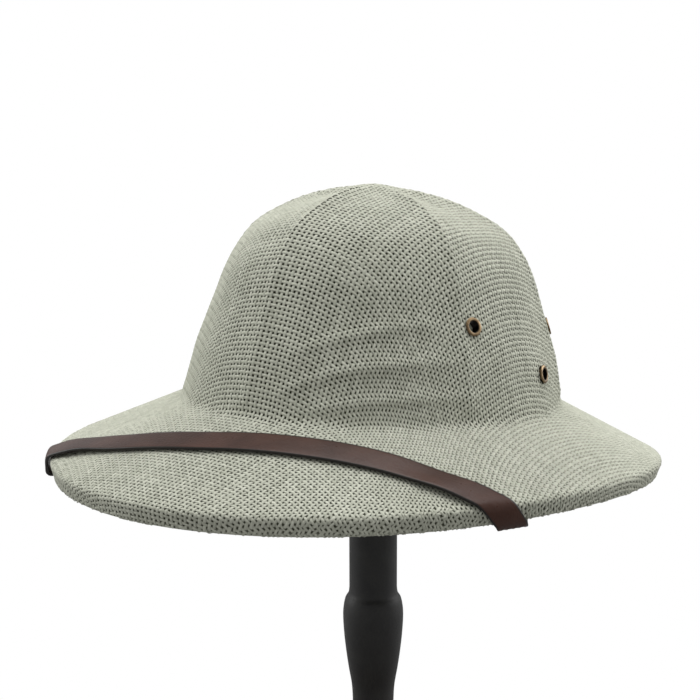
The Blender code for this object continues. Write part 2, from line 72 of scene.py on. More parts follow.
# %% [markdown]
# ## Camera
#
# The picture is taken from a little above, 34 degrees round from the helmet's front, from 0.83 m. The
# lens and the shift were found by fitting the crown's and the brim's outline; the shift only moves the
# frame, as a view camera does, so the helmet keeps its perspective.

# %% Camera at the picture's angle
CAMERA_AZIMUTH = math.radians(33.65)
CAMERA_ELEVATION = math.radians(11.73)
CAMERA_DISTANCE = 0.8349
AIM = Vector((0, 0, 224 * MM))
LENS = 83.78
SHIFT_RIGHT = -0.0331
SHIFT_UP = 0.0653

back = Vector((math.sin(CAMERA_AZIMUTH) * math.cos(CAMERA_ELEVATION),
               -math.cos(CAMERA_AZIMUTH) * math.cos(CAMERA_ELEVATION),
               math.sin(CAMERA_ELEVATION)))
bpy.ops.object.camera_add(location=AIM + back * CAMERA_DISTANCE)
camera = bpy.context.object
camera.rotation_mode = "QUATERNION"
camera.rotation_quaternion = back.to_track_quat("Z", "Y")
camera.data.lens = LENS
camera.data.shift_x = SHIFT_RIGHT
camera.data.shift_y = SHIFT_UP
camera.data.clip_end = 60
bpy.context.scene.camera = camera
print("camera at", [round(x, 3) for x in camera.location])

# %% [markdown]
# ## Floor and light
#
# The picture has a pure white ground, yet the cloth facing the viewer is shaded: the light comes from a
# large soft box overhead and from both sides, a little from behind, and hardly any comes from the
# viewer's side. So the sky is white where it is seen and dim as a light, the floor is pale, and three
# large lamps do the lighting.

# %% Pale floor, white ground and three soft boxes
SKY_LIGHT = 0.54
FLOOR_BOUNCE = 0.30
FLOOR_RADIUS = 25
FLOOR_DROP = 0.0005
LIT_POINT = Vector((0, 0, 0.26))


def white_when_seen(tree, seen, otherwise, out):
    """One shader for what the viewer sees directly, another for the light it gives."""
    rays = tree.nodes.new("ShaderNodeLightPath")
    mix = tree.nodes.new("ShaderNodeMixShader")
    tree.links.new(rays.outputs["Is Camera Ray"], mix.inputs[0])
    tree.links.new(otherwise.outputs[0], mix.inputs[1])
    tree.links.new(seen.outputs[0], mix.inputs[2])
    tree.links.new(mix.outputs[0], out.inputs["Surface"])


def make_floor_finish():
    made = bpy.data.materials.new("pale_floor")
    made.use_nodes = True
    made.diffuse_color = (0.9, 0.9, 0.9, 1)
    tree = made.node_tree
    shader = tree.nodes["Principled BSDF"]
    shader.inputs["Base Color"].default_value = (FLOOR_BOUNCE, FLOOR_BOUNCE, FLOOR_BOUNCE, 1)
    shader.inputs["Roughness"].default_value = 0.9
    white = tree.nodes.new("ShaderNodeEmission")
    white.inputs["Color"].default_value = (1, 1, 1, 1)
    white_when_seen(tree, white, shader, tree.nodes["Material Output"])
    return made


def make_sky():
    made = bpy.data.worlds.new("soft_sky")
    made.use_nodes = True
    tree = made.node_tree
    light = tree.nodes["Background"]
    light.inputs["Color"].default_value = (1, 1, 1, 1)
    light.inputs["Strength"].default_value = SKY_LIGHT
    white = tree.nodes.new("ShaderNodeBackground")
    white.inputs["Color"].default_value = (1, 1, 1, 1)
    white_when_seen(tree, white, light, tree.nodes["World Output"])
    return made


bpy.ops.mesh.primitive_circle_add(vertices=96, radius=FLOOR_RADIUS, fill_type="NGON",
                                  location=(0, 0, -FLOOR_DROP))
floor = bpy.context.object
floor.name = "floor"
floor.data.materials.append(make_floor_finish())
bpy.context.scene.world = make_sky()

RIGHT = Vector((math.cos(CAMERA_AZIMUTH), math.sin(CAMERA_AZIMUTH), 0))
BEHIND = Vector((-math.sin(CAMERA_AZIMUTH), math.cos(CAMERA_AZIMUTH), 0))
SOFT_BOXES = (
    # name, to_the_right, behind, height, size, watts
    ("top_box", 0.1, 0.1, 1.50, 1.3, 15.5),
    ("right_box", 1.1, 0.45, 0.70, 0.9, 9.5),
    ("left_box", -1.1, 0.25, 0.65, 0.9, 7.0),
)
for name, beside, beyond, height, size, watts in SOFT_BOXES:
    place = RIGHT * beside + BEHIND * beyond + Vector((0, 0, height))
    bpy.ops.object.light_add(type="AREA", location=place)
    box = bpy.context.object
    box.name = name
    box.rotation_mode = "QUATERNION"
    box.rotation_quaternion = (place - LIT_POINT).to_track_quat("Z", "Y")
    box.data.size = size
    box.data.energy = watts
    print(name, "at", [round(x, 2) for x in place], watts, "W")
bpy.context.scene.view_settings.view_transform = "Standard"

# %% [markdown]
# ## The helmet's form
#
# The cloth was pressed over a block, so its form is one closed curve in section, swept round the head:
# a crown, a small fillet, a nearly straight brim and a turned-down edge. The same named sizes as in the
# solids give that section at every azimuth. It is worked out once as a fine table, with one column for
# each half degree and one row for each half millimetre of cloth, and every part of the helmet is laid on
# that table.

# %% Sizes of the helmet
BROW_HEIGHT = 224 * MM
HELMET_TILT = math.radians(-4.6)
CROWN_HALF_WIDTH = 92.4 * MM
CROWN_FRONT_LENGTH = 104.6 * MM
CROWN_BACK_LENGTH = 108.6 * MM
CROWN_HEIGHT = 108 * MM
TOP_FORWARD = 7 * MM
TOP_FORWARD_POWER = 10
CLOTH_THICKNESS = 2.0 * MM
JUNCTION_FILLET = 3 * MM
BRIM_HALF_WIDTH = 144 * MM
BRIM_FRONT_LENGTH = 178.5 * MM
BRIM_BACK_LENGTH = 166 * MM
BRIM_FRONT_DROP = 30.2 * MM
BRIM_SIDE_DROP = 23 * MM
BRIM_BACK_DROP = 28 * MM
EDGE_BEND = 3 * MM
EDGE_HEIGHT = 6 * MM
EDGE_LEAN = 2.0 * MM
CROWN_PROFILE = np.array((
    # height, width
    (0.000, 1.000),
    (0.110, 0.976),
    (0.235, 0.946),
    (0.350, 0.903),
    (0.475, 0.854),
    (0.600, 0.805),
    (0.710, 0.739),
    (0.810, 0.636),
    (0.900, 0.446),
    (0.957, 0.256),
    (0.990, 0.112),
    (1.000, 0.000),
))

TILT = Matrix.Rotation(HELMET_TILT, 3, "X")
PLACED = Matrix.Translation((0, 0, BROW_HEIGHT)) @ TILT.to_4x4()
TILT_ROWS = np.array(TILT)


def placed(points):
    """Points of the helmet's own frame, tilted and lifted onto the stand."""
    return points @ TILT_ROWS.T + np.array((0, 0, BROW_HEIGHT))


def smooth_curve(rows, shares):
    """A smooth curve through a table's rows, at shares of the way along it."""
    place = shares * (len(rows) - 1)
    at = np.minimum(place.astype(int), len(rows) - 2)
    t = (place - at)[:, None]
    start = rows[at]
    end = rows[at + 1]
    slope_in = (end - rows[np.maximum(at - 1, 0)]) / 2
    slope_out = (rows[np.minimum(at + 2, len(rows) - 1)] - start) / 2
    rise = end - start
    return (start + slope_in * t + (3 * rise - 2 * slope_in - slope_out) * t ** 2
            + (slope_in + slope_out - 2 * rise) * t ** 3)


def half_oval(azimuth, half_width, front, rear):
    """Distance from the middle to the edge of an egg, longer or shorter in front."""
    length = np.where(np.cos(azimuth) > 0, front, rear)
    return 1 / np.hypot(np.sin(azimuth) / half_width, np.cos(azimuth) / length)


def brow_radius(azimuth):
    return half_oval(azimuth, CROWN_HALF_WIDTH, CROWN_FRONT_LENGTH, CROWN_BACK_LENGTH)


def brim_radius(azimuth):
    return half_oval(azimuth, BRIM_HALF_WIDTH, BRIM_FRONT_LENGTH, BRIM_BACK_LENGTH)


def brim_slope(azimuth):
    ends = np.where(np.cos(azimuth) > 0, BRIM_FRONT_DROP, BRIM_BACK_DROP)
    drop = BRIM_SIDE_DROP + (ends - BRIM_SIDE_DROP) * np.cos(azimuth) ** 2
    return drop / (brim_radius(azimuth) - brow_radius(azimuth))


print("brim", round(2 * BRIM_HALF_WIDTH, 3), "m wide, crown", CROWN_HEIGHT, "m high")

# %% [markdown]
# The section is written zone by zone, from the top down and round the lip, as radius and height. Each zone
# keeps its own number of rows, so that the fillet and the tight bend at the brim's edge stay smooth.

# %% The section at every azimuth
AZIMUTH_COUNT = 720
AZIMUTHS = np.arange(AZIMUTH_COUNT) * 2 * math.pi / AZIMUTH_COUNT
ZONE_ROWS = {"crown": 900, "fillet": 24, "brim": 40, "bend": 12, "edge": 8, "lip": 10, "inside": 6}
LIP_RADIUS = CLOTH_THICKNESS / 2
INSIDE_TAIL = 110 * MM


def section_zones():
    """Radius and height of each zone of the cloth's outside, one line for each azimuth."""
    brow = brow_radius(AZIMUTHS)[:, None]
    edge = brim_radius(AZIMUTHS)[:, None]
    slope = brim_slope(AZIMUTHS)[:, None]
    curve = smooth_curve(CROWN_PROFILE, np.linspace(1, 0, ZONE_ROWS["crown"]))
    curve = curve[curve[:, 0] * CROWN_HEIGHT > JUNCTION_FILLET]
    foot = brow * np.interp(JUNCTION_FILLET / CROWN_HEIGHT, curve[::-1, 0], curve[::-1, 1])
    toe = brow + JUNCTION_FILLET
    zones = {"crown": (brow * np.maximum(curve[:, 1], 0), curve[:, 0] * CROWN_HEIGHT)}
    share = {zone: np.linspace(0, 1, rows)[1:] for zone, rows in ZONE_ROWS.items()}
    t = share["fillet"]
    zones["fillet"] = ((1 - t) ** 2 * foot + 2 * t * (1 - t) * brow + t ** 2 * toe,
                       (1 - t) ** 2 * JUNCTION_FILLET - t ** 2 * slope * JUNCTION_FILLET)
    start = np.arctan(slope)
    last = edge - EDGE_BEND * (1 - np.sin(start))
    run_out = toe + (last - toe) * share["brim"]
    zones["brim"] = (run_out, -slope * (run_out - brow))
    centre = edge - EDGE_BEND
    level = -slope * (last - brow) - EDGE_BEND * np.cos(start)
    turn = start + (math.pi / 2 - start) * share["bend"]
    zones["bend"] = (centre + EDGE_BEND * np.sin(turn), level + EDGE_BEND * np.cos(turn))
    zones["edge"] = (edge - EDGE_LEAN * share["edge"], level - EDGE_HEIGHT * share["edge"])
    turn = math.pi * share["lip"]
    inner = edge - EDGE_LEAN - LIP_RADIUS
    zones["lip"] = (inner + LIP_RADIUS * np.cos(turn), level - EDGE_HEIGHT - LIP_RADIUS * np.sin(turn))
    zones["inside"] = (inner - LIP_RADIUS + 0 * share["inside"],
                       level - EDGE_HEIGHT + INSIDE_TAIL * share["inside"])
    return zones


ZONES = section_zones()
ROW_STARTS = {}
radii = []
heights = []
rows_so_far = 0
for zone, (radius, height) in ZONES.items():
    ROW_STARTS[zone] = rows_so_far
    rows_so_far += radius.shape[1]
    radii.append(np.broadcast_to(radius, (AZIMUTH_COUNT, radius.shape[1])))
    heights.append(np.broadcast_to(height, (AZIMUTH_COUNT, radius.shape[1])))
RADII = np.concatenate(radii, 1)
HEIGHTS = np.concatenate(heights, 1)
print("section rows:", ROW_STARTS)

# %% [markdown]
# ## Ribs, panels and creases
#
# Six soft ribs run up the crown, the panels between them lie a little flatter, a shallow ring surrounds
# the top, and three faint creases cross the left front where the cloth slid on its block. They are all
# small moves of the surface along its own outward direction, so they are added as one height map. The
# cloth is left flat round each eyelet.

# %% Low relief of the crown
RIB_HEIGHT = 1.6 * MM
RIB_SPREAD = 4 * MM
RIB_POWER = 1.25
PANEL_SINK = 1.6 * MM
CREASE_HEIGHT = 1.15 * MM
CREASE_SPREAD = 3.2 * MM
TOP_RING_RADIUS = 9 * MM
TOP_RING_SINK = 0.8 * MM
EYELET_FLAT = 9 * MM
PANEL_FOOT_FADE = 20 * MM
PANEL_TOP_FADE = 30 * MM
RIB_TOP_FADE = 10 * MM
BROW_CLEAR = 2 * MM
BROW_FADE = 6 * MM
CREASE_FULLNESS = 0.55
RIB_AZIMUTHS = (-1.5, 62, 118, 180, 242, 298)
CREASES = (
    # start_azimuth, start_height, end_azimuth, end_height, bend
    (9, 30.5, 54, 45.5, 2.0),
    (6, 10.5, 60, 28.6, 3.0),
    (11, 0.0, 67, 12.5, 4.0),
)
EYELET_PLACES = (
    # azimuth, height
    (66, 44),
    (101, 19),
    (128, 39),
)


def degrees_between(a, b):
    return (a - b + 180) % 360 - 180


def bell(distance, spread):
    return np.exp(-(distance / spread) ** 2)


def crown_relief():
    """How far the relief moves each point of the section table outwards."""
    turned = np.degrees(AZIMUTHS)[:, None]
    radius = np.maximum(RADII, 1 * MM)
    fade = np.clip(HEIGHTS / PANEL_FOOT_FADE, 0, 1) * np.clip(radius / PANEL_TOP_FADE, 0, 1)
    rib = np.min([np.abs(degrees_between(turned, place)) for place in RIB_AZIMUTHS], axis=0)
    crest = np.exp(-(np.radians(rib) * radius / RIB_SPREAD) ** RIB_POWER)
    moved = RIB_HEIGHT * crest * np.clip(radius / RIB_TOP_FADE - 1, 0, 1)
    moved = moved - PANEL_SINK * fade * np.sin(np.radians(np.minimum(rib * 3, 90))) ** 2
    for start, low, end, high, bend in CREASES:
        along = np.clip(degrees_between(turned, start) / degrees_between(end, start), 0, 1)
        line = (high - (high - low) * (1 - along) ** bend) * MM
        swell = np.sin(math.pi * along) ** CREASE_FULLNESS
        moved = moved + CREASE_HEIGHT * swell * bell(HEIGHTS - line, CREASE_SPREAD)
    moved = moved - TOP_RING_SINK * bell(radius - 2 * TOP_RING_RADIUS, TOP_RING_RADIUS)
    for place, lift in EYELET_PLACES:
        beside = np.radians(np.minimum(np.abs(degrees_between(turned, place)),
                                       np.abs(degrees_between(turned, -place))))
        moved = moved * (1 - bell(np.hypot(beside * radius, HEIGHTS - lift * MM), EYELET_FLAT))
    return moved * np.clip((HEIGHTS - BROW_CLEAR) / BROW_FADE, 0, 1)


def outward(points):
    """Outward directions of a table of points, one line for each azimuth and one row for each step down."""
    wrapped = np.concatenate([points[-1:], points, points[:1]])
    round_way = wrapped[2:] - wrapped[:-2]
    down_way = np.gradient(points, axis=1)
    found = np.cross(down_way, round_way)
    found[:, 0] = found[:, 1:3].mean((0, 1))
    return found / np.maximum(np.linalg.norm(found, axis=2, keepdims=True), 1e-15)


forward = TOP_FORWARD * np.maximum(HEIGHTS / CROWN_HEIGHT, 0) ** TOP_FORWARD_POWER
SMOOTH = np.stack([RADII * np.sin(AZIMUTHS)[:, None],
                   -RADII * np.cos(AZIMUTHS)[:, None] - forward, HEIGHTS], -1)
RELIEF = crown_relief()
FORM = SMOOTH + outward(SMOOTH) * RELIEF[..., None]
print("relief from", round(RELIEF.min() / MM, 2), "to", round(RELIEF.max() / MM, 2), "mm")

# %% [markdown]
# Rows at equal steps of cloth make the table easy to walk on. A spot on the cloth is then a point of a
# flat disc: its direction from the middle is the azimuth, and its distance is the run of cloth from the
# top. That disc has no seam and no pole, which matters for the weave.

# %% The table of cloth runs
RUN_STEP = 0.5 * MM
RUN_COUNT = 620
wanted_runs = np.arange(RUN_COUNT) * RUN_STEP
steps = np.linalg.norm(np.diff(SMOOTH, axis=1), axis=2)
SECTION_RUNS = np.concatenate([np.zeros((AZIMUTH_COUNT, 1)), np.cumsum(steps, 1)], 1)


def by_run(points):
    """A table's points at equal runs of cloth."""
    return np.array([[np.interp(wanted_runs, runs, line[:, axis]) for axis in range(3)]
                     for runs, line in zip(SECTION_RUNS, points)]).transpose(0, 2, 1)


SMOOTH_RUNS = by_run(SMOOTH)
FORM_RUNS = by_run(FORM)
NORMAL_RUNS = outward(FORM_RUNS)
lip_row = ROW_STARTS["inside"] - ZONE_ROWS["lip"] // 2
BRIM_END_RUN = SECTION_RUNS[:, lip_row]
BROW_RUN = SECTION_RUNS[:, ROW_STARTS["fillet"] + 10]


def column(spots):
    return np.arctan2(spots[..., 0], -spots[..., 1]) / (2 * math.pi) * AZIMUTH_COUNT % AZIMUTH_COUNT


def run(spots):
    return np.hypot(spots[..., 0], spots[..., 1])


def on_table(table, spots):
    """The table's value at spots of the flat disc."""
    turn = column(spots)
    rows = run(spots) / RUN_STEP
    left = turn.astype(int) % AZIMUTH_COUNT
    above = np.minimum(rows.astype(int), RUN_COUNT - 2)
    right = (left + 1) % AZIMUTH_COUNT
    across = (turn - turn.astype(int))[..., None]
    down = (rows - above)[..., None]
    top = table[left, above] * (1 - across) + table[right, above] * across
    bottom = table[left, above + 1] * (1 - across) + table[right, above + 1] * across
    return top * (1 - down) + bottom * down


print("cloth from top to lip:", round(BRIM_END_RUN.min(), 3), "to", round(BRIM_END_RUN.max(), 3), "m")

# %% [markdown]
# ## How a square cloth lies on a dome
#
# The helmet is covered by one square of open plain weave. Its yarns don't stretch, so every mesh of the
# net keeps four equal sides and only its corners open and close, as in a fishing net. Two yarns are
# fixed, one from front to back and one from side to side, and every other crossing follows from the three
# before it: it is the point of the form that lies one pitch from both of its neighbours. The yarns that
# run forwards are spaced a little wider than the ones that run sideways. Two distances in two unknowns
# are solved by Newton's method for a whole diagonal of crossings at once. This is why the weave is
# square along the ribs in front and at the side, and slants between them.
#
# Damp cloth on a block also gives a little: it is pressed together round the crown. So each crossing is
# moved part of the way to where it would lie if the flat cloth had only been shrunk round its middle,
# which is its own place on the flat disc.

# %% Lay the net
PITCHES = (2.58 * MM, 2.35 * MM)
GIVE = 0.38
NET_TURN = math.radians(-2)
NET_HALF = 126
NET_MARGIN = 45 * MM
SHORT_WAY = 0.02 * MM
LAID_PAST_LIP = 8 * MM
INSIDE_LIP = 0.2 * MM


def next_crossings(first, second, opposite):
    spots = first + second - opposite
    ends = on_table(SMOOTH_RUNS, first), on_table(SMOOTH_RUNS, second)
    for _ in range(8):
        here = on_table(SMOOTH_RUNS, spots)
        east = (on_table(SMOOTH_RUNS, spots + (SHORT_WAY, 0)) - here) / SHORT_WAY
        north = (on_table(SMOOTH_RUNS, spots + (0, SHORT_WAY)) - here) / SHORT_WAY
        far = [here - end for end in ends]
        miss = [(v ** 2).sum(1) - pitch ** 2 for v, pitch in zip(far, PITCHES)]
        slopes = [(2 * (v * east).sum(1), 2 * (v * north).sum(1)) for v in far]
        size = slopes[0][0] * slopes[1][1] - slopes[0][1] * slopes[1][0]
        size = np.where(np.abs(size) < 1e-12, 1e-12, size)
        move = np.stack([slopes[1][1] * miss[0] - slopes[0][1] * miss[1],
                         slopes[0][0] * miss[1] - slopes[1][0] * miss[0]], 1) / size[:, None]
        length = np.linalg.norm(move, axis=1, keepdims=True)
        spots = spots - move * np.minimum(1, 0.5 * PITCHES[0] / np.maximum(length, 1e-9))
    return spots


def lay_net():
    """Spots of every crossing: first index from right to left, second from back to front."""
    net = np.full((2 * NET_HALF + 1, 2 * NET_HALF + 1, 2), np.nan)
    sideways, forwards = (np.arange(-NET_HALF, NET_HALF + 1) * pitch for pitch in PITCHES)
    across = np.array((math.cos(NET_TURN), math.sin(NET_TURN)))
    ahead = np.array((math.sin(NET_TURN), -math.cos(NET_TURN)))
    flat = sideways[:, None, None] * across + forwards[None, :, None] * ahead
    net[:, NET_HALF] = flat[:, NET_HALF]
    net[NET_HALF, :] = flat[NET_HALF, :]
    for side in (1, -1):
        for end in (1, -1):
            for diagonal in range(2, 2 * NET_HALF):
                i = np.arange(max(1, diagonal - NET_HALF), min(diagonal, NET_HALF + 1))
                a = NET_HALF + side * i
                b = NET_HALF + end * (diagonal - i)
                known = net[a - side, b], net[a, b - end], net[a - side, b - end]
                ready = np.isfinite(known[0][:, 0] + known[1][:, 0] + known[2][:, 0])
                if ready.any():
                    made = next_crossings(*(spots[ready] for spots in known))
                    limit = BRIM_END_RUN[column(made).astype(int) % AZIMUTH_COUNT] + NET_MARGIN
                    made[run(made) > limit] = np.nan
                    net[a[ready], b[ready]] = made
    return net + GIVE * (flat - net)


NET = lay_net()
LAID = np.isfinite(NET[..., 0])
spots = np.nan_to_num(NET)
at_column = column(spots).astype(int) % AZIMUTH_COUNT
LAID &= run(spots) < BRIM_END_RUN[at_column] + LAID_PAST_LIP
INSIDE = LAID & (run(spots) < BRIM_END_RUN[at_column] - INSIDE_LIP)
ON_CROWN = run(spots) < BROW_RUN[at_column]
NODES = on_table(FORM_RUNS, spots)
NORMALS = on_table(NORMAL_RUNS, spots)
NORMALS /= np.maximum(np.linalg.norm(NORMALS, axis=-1, keepdims=True), 1e-9)
print("crossings laid:", int(INSIDE.sum()), "of them on the crown:", int((INSIDE & ON_CROWN).sum()))

# %% [markdown]
# ## Helpers for making pieces
#
# Pieces that are laid on the form come from arrays of points. Hard pieces are started as a primitive
# and worked on in edit mode. Both end as a plain mesh at the origin that rides on the one body.

# %% Helpers
def array_mesh(name, points, faces):
    """A new smooth object from arrays of points and faces."""
    mesh = bpy.data.meshes.new(name)
    mesh.from_pydata(points, [], faces)
    made = bpy.data.objects.new(name, mesh)
    bpy.context.scene.collection.objects.link(made)
    mesh.shade_smooth()
    return made


def ring_faces(rings, sides):
    """Numbers of the points of stacked rings, their neighbours all round, and the faces between the rings."""
    number = np.arange(rings * sides).reshape(rings, sides)
    turned = np.roll(number, -1, axis=1)
    quads = np.stack([number[:-1], number[1:], turned[1:], turned[:-1]], -1)
    return number, turned, quads.reshape(-1, 4).tolist()


def add_uv(made, corner_uv):
    layer = made.data.uv_layers.new(name="cloth_map")
    layer.data.foreach_set("uv", np.ascontiguousarray(corner_uv, dtype=np.float32).ravel())


def add_value(made, name, values):
    layer = made.data.attributes.new(name, "FLOAT", "POINT")
    layer.data.foreach_set("value", np.ascontiguousarray(values, dtype=np.float32).ravel())


def select_only(*objects):
    bpy.ops.object.select_all(action="DESELECT")
    for made in objects:
        made.select_set(True)
    bpy.context.view_layer.objects.active = objects[0]


def face_outwards(made):
    select_only(made)
    bpy.ops.object.mode_set(mode="EDIT")
    bpy.ops.mesh.select_all(action="SELECT")
    bpy.ops.mesh.remove_doubles(threshold=0.00001)
    bpy.ops.mesh.normals_make_consistent(inside=False)
    bpy.ops.object.mode_set(mode="OBJECT")


def apply_place(made, frame=None):
    """Put a finished piece at its place, with its object left at the origin."""
    select_only(made)
    bpy.ops.object.transform_apply(location=True, rotation=True, scale=True)
    if frame is not None:
        made.data.transform(frame)


def finish_piece(made, slot, finish, *nodes):
    """The piece gets its finish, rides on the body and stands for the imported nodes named."""
    made.data.materials.clear()
    made.data.materials.append(finish)
    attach(made, "root")
    if nodes:
        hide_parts(*nodes)
    triangles = sum(len(polygon.vertices) - 2 for polygon in made.data.polygons)
    print(f"{made.name}: {triangles} triangles")


# %% [markdown]
# ## Finishes
#
# Small node groups hold what several finishes share: a fine grain of noise for roughness and relief,
# and the over-and-under of a plain weave, drawn from coordinates that count yarns.

# %% Shared node groups
class Nodes:
    """Short ways to add and join nodes of one tree."""

    def __init__(self, tree):
        self.tree = tree

    def add(self, kind, inputs=None, **settings):
        node = self.tree.nodes.new(kind)
        for name, value in settings.items():
            setattr(node, name, value)
        for key, value in (inputs or {}).items():
            self.join(value, node.inputs[key])
        return node

    def join(self, value, socket):
        if isinstance(value, bpy.types.NodeSocket):
            self.tree.links.new(value, socket)
        elif isinstance(value, bpy.types.Node):
            self.tree.links.new(value.outputs[0], socket)
        else:
            socket.default_value = value

    def math(self, operation, *values):
        node = self.tree.nodes.new("ShaderNodeMath")
        node.operation = operation
        for place, value in enumerate(values):
            self.join(value, node.inputs[place])
        return node.outputs[0]

    def noise(self, coordinates, scale, detail=3.0, roughness=0.5):
        made = self.add("ShaderNodeTexNoise", {"Vector": coordinates, "Scale": scale, "Detail": detail,
                                               "Roughness": roughness})
        return made.outputs["Fac"]

    def ranged(self, value, low, high, to_low, to_high):
        return self.add("ShaderNodeMapRange", {"Value": value, "From Min": low, "From Max": high,
                                               "To Min": to_low, "To Max": to_high}).outputs["Result"]

    def mixed(self, share, first, second):
        node = self.add("ShaderNodeMix", data_type="RGBA")
        colour_sockets = [s for s in node.inputs if s.type == "RGBA"]
        self.join(share, node.inputs[0])
        self.join(first, colour_sockets[0])
        self.join(second, colour_sockets[1])
        return [s for s in node.outputs if s.type == "RGBA"][0]

    def attribute(self, name):
        return self.add("ShaderNodeAttribute", attribute_name=name).outputs["Fac"]


def new_group(name, inputs, outputs):
    group = bpy.data.node_groups.new(name, "ShaderNodeTree")
    for title, kind, value in inputs:
        socket = group.interface.new_socket(name=title, in_out="INPUT", socket_type=kind)
        if value is not None:
            socket.default_value = value
    for title, kind in outputs:
        group.interface.new_socket(name=title, in_out="OUTPUT", socket_type=kind)
    tree = Nodes(group)
    return group, tree, tree.add("NodeGroupInput"), tree.add("NodeGroupOutput")


def make_plain_weave():
    """Height and open holes of a plain weave, from coordinates that count yarns."""
    group, tree, given, out = new_group("plain_weave", [("Yarns", "NodeSocketVector", None)],
                                        [("Height", "NodeSocketFloat"), ("Hole", "NodeSocketFloat")])
    parts = tree.add("ShaderNodeSeparateXYZ", {"Vector": given.outputs["Yarns"]})
    tops = []
    widths = []
    for along, across, shift in (("X", "Y", 0.0), ("Y", "X", 1.0)):
        number = tree.math("ROUND", parts.outputs[across])
        beside = tree.math("SUBTRACT", parts.outputs[across], number)
        wave = tree.math("COSINE", tree.math("MULTIPLY", tree.math(
            "ADD", tree.math("ADD", parts.outputs[along], number), shift), math.pi))
        inside = tree.math("LESS_THAN", tree.math("ABSOLUTE", beside), 0.36)
        roundness = tree.math("SUBTRACT", 1.0, tree.math("POWER", tree.math("MULTIPLY", tree.math(
            "ABSOLUTE", beside), 2.6), 2.0))
        tops.append(tree.math("MULTIPLY", inside, tree.math(
            "ADD", tree.math("MULTIPLY", wave, 0.3), tree.math("MULTIPLY", roundness, 0.7))))
        widths.append(inside)
    height = tree.math("MAXIMUM", *tops)
    hole = tree.math("SUBTRACT", 1.0, tree.math("MAXIMUM", *widths))
    tree.join(height, out.inputs["Height"])
    tree.join(hole, out.inputs["Hole"])
    return group


def make_grain():
    """Soft blotches and a fine grain, as values about 0.5."""
    group, tree, given, out = new_group(
        "grain", [("Vector", "NodeSocketVector", None), ("Blotch", "NodeSocketFloat", 40.0),
                  ("Fine", "NodeSocketFloat", 900.0)],
        [("Blotches", "NodeSocketFloat"), ("Grain", "NodeSocketFloat")])
    tree.join(tree.noise(given.outputs["Vector"], given.outputs["Blotch"]), out.inputs["Blotches"])
    tree.join(tree.noise(given.outputs["Vector"], given.outputs["Fine"], 4.0, 0.6), out.inputs["Grain"])
    return group


PLAIN_WEAVE = make_plain_weave()
GRAIN = make_grain()


def new_finish(name, view_colour):
    made = bpy.data.materials.new(name)
    made.use_nodes = True
    made.diffuse_color = (*view_colour, 1)
    tree = Nodes(made.node_tree)
    shader = made.node_tree.nodes["Principled BSDF"]
    place = tree.add("ShaderNodeTexCoord")
    return made, tree, shader, place.outputs["Object"]


def grained(tree, place, blotch, fine):
    group = tree.add("ShaderNodeGroup", node_tree=GRAIN)
    tree.join(place, group.inputs["Vector"])
    group.inputs["Blotch"].default_value = blotch
    group.inputs["Fine"].default_value = fine
    return group.outputs["Blotches"], group.outputs["Grain"]


def set_relief(tree, shader, height, depth):
    bump = tree.add("ShaderNodeBump", {"Height": height, "Distance": depth, "Strength": 1.0})
    tree.join(bump, shader.inputs["Normal"])


print("node groups:", [group.name for group in bpy.data.node_groups])

# %% [markdown]
# The cloth is a pale sage green of dyed cotton. Each yarn differs a little in tone from the next, which
# is kept as a value on its points; very fine fibres run along it. Open-weave cloth looks lighter on its
# floats and darker in its holes; the wall seen through the holes is coloured a painted shade, near black
# on the crown and a little lighter on the brim.

# %% Cloth finishes
YARN_LIGHT = (0.560, 0.570, 0.480, 1)
YARN_DARK = (0.400, 0.410, 0.335, 1)
# Painted shade for the weave's holes: the wall's colour behind them, on the crown and on the brim.
HOLE_SHADE = (0.040, 0.041, 0.024, 1)
BRIM_HOLE_SHADE = (0.100, 0.103, 0.073, 1)


def make_yarn():
    made, tree, shader, place = new_finish("sage_yarn", (0.48, 0.49, 0.41))
    blotches, grain = grained(tree, place, 35.0, 1500.0)
    tone = tree.attribute("tone")
    spread = tree.math("ADD", tone, tree.ranged(blotches, 0.3, 0.7, -0.12, 0.12))
    colour = tree.mixed(spread, YARN_DARK, YARN_LIGHT)
    tree.join(colour, shader.inputs["Base Color"])
    shader.inputs["Roughness"].default_value = 0.85
    shader.inputs["Specular IOR Level"].default_value = 0.25
    lengthways = tree.add("ShaderNodeMapping", {"Vector": tree.add("ShaderNodeUVMap", uv_map="cloth_map"),
                                                "Scale": (0.35, 7.0, 1.0)})
    fibres = tree.noise(lengthways.outputs["Vector"], 2.2, 2.0)
    set_relief(tree, shader, tree.math("ADD", fibres, tree.math("MULTIPLY", grain, 0.4)), 0.00012)
    return made


def make_lining_with_hole_shade():
    made, tree, shader, place = new_finish("lining_with_hole_shade", (0.3, 0.31, 0.25))
    blotches, grain = grained(tree, place, 30.0, 1400.0)
    weave = tree.add("ShaderNodeGroup", node_tree=PLAIN_WEAVE)
    tree.join(tree.add("ShaderNodeUVMap", uv_map="cloth_map"), weave.inputs["Yarns"])
    tone = tree.math("ADD", 0.5, tree.ranged(blotches, 0.3, 0.7, -0.15, 0.15))
    cloth = tree.mixed(tone, YARN_DARK, YARN_LIGHT)
    # The wall's outside is a painted shade seen through the holes; the underside's weave gets the same
    # painted shade in its holes.
    painted_hole_shade = tree.mixed(tree.attribute("brim"), HOLE_SHADE, BRIM_HOLE_SHADE)
    under = tree.mixed(tree.math("MULTIPLY", weave.outputs["Hole"], 0.85), cloth, HOLE_SHADE)
    colour = tree.mixed(tree.attribute("underside"), painted_hole_shade, under)
    tree.join(colour, shader.inputs["Base Color"])
    shader.inputs["Roughness"].default_value = 0.9
    shader.inputs["Specular IOR Level"].default_value = 0.2
    height = tree.math("ADD", weave.outputs["Height"], tree.math("MULTIPLY", grain, 0.2))
    set_relief(tree, shader, height, 0.0004)
    return made


SAGE_YARN = make_yarn()
LINING_WITH_HOLE_SHADE = make_lining_with_hole_shade()
print("cloth finishes ready")
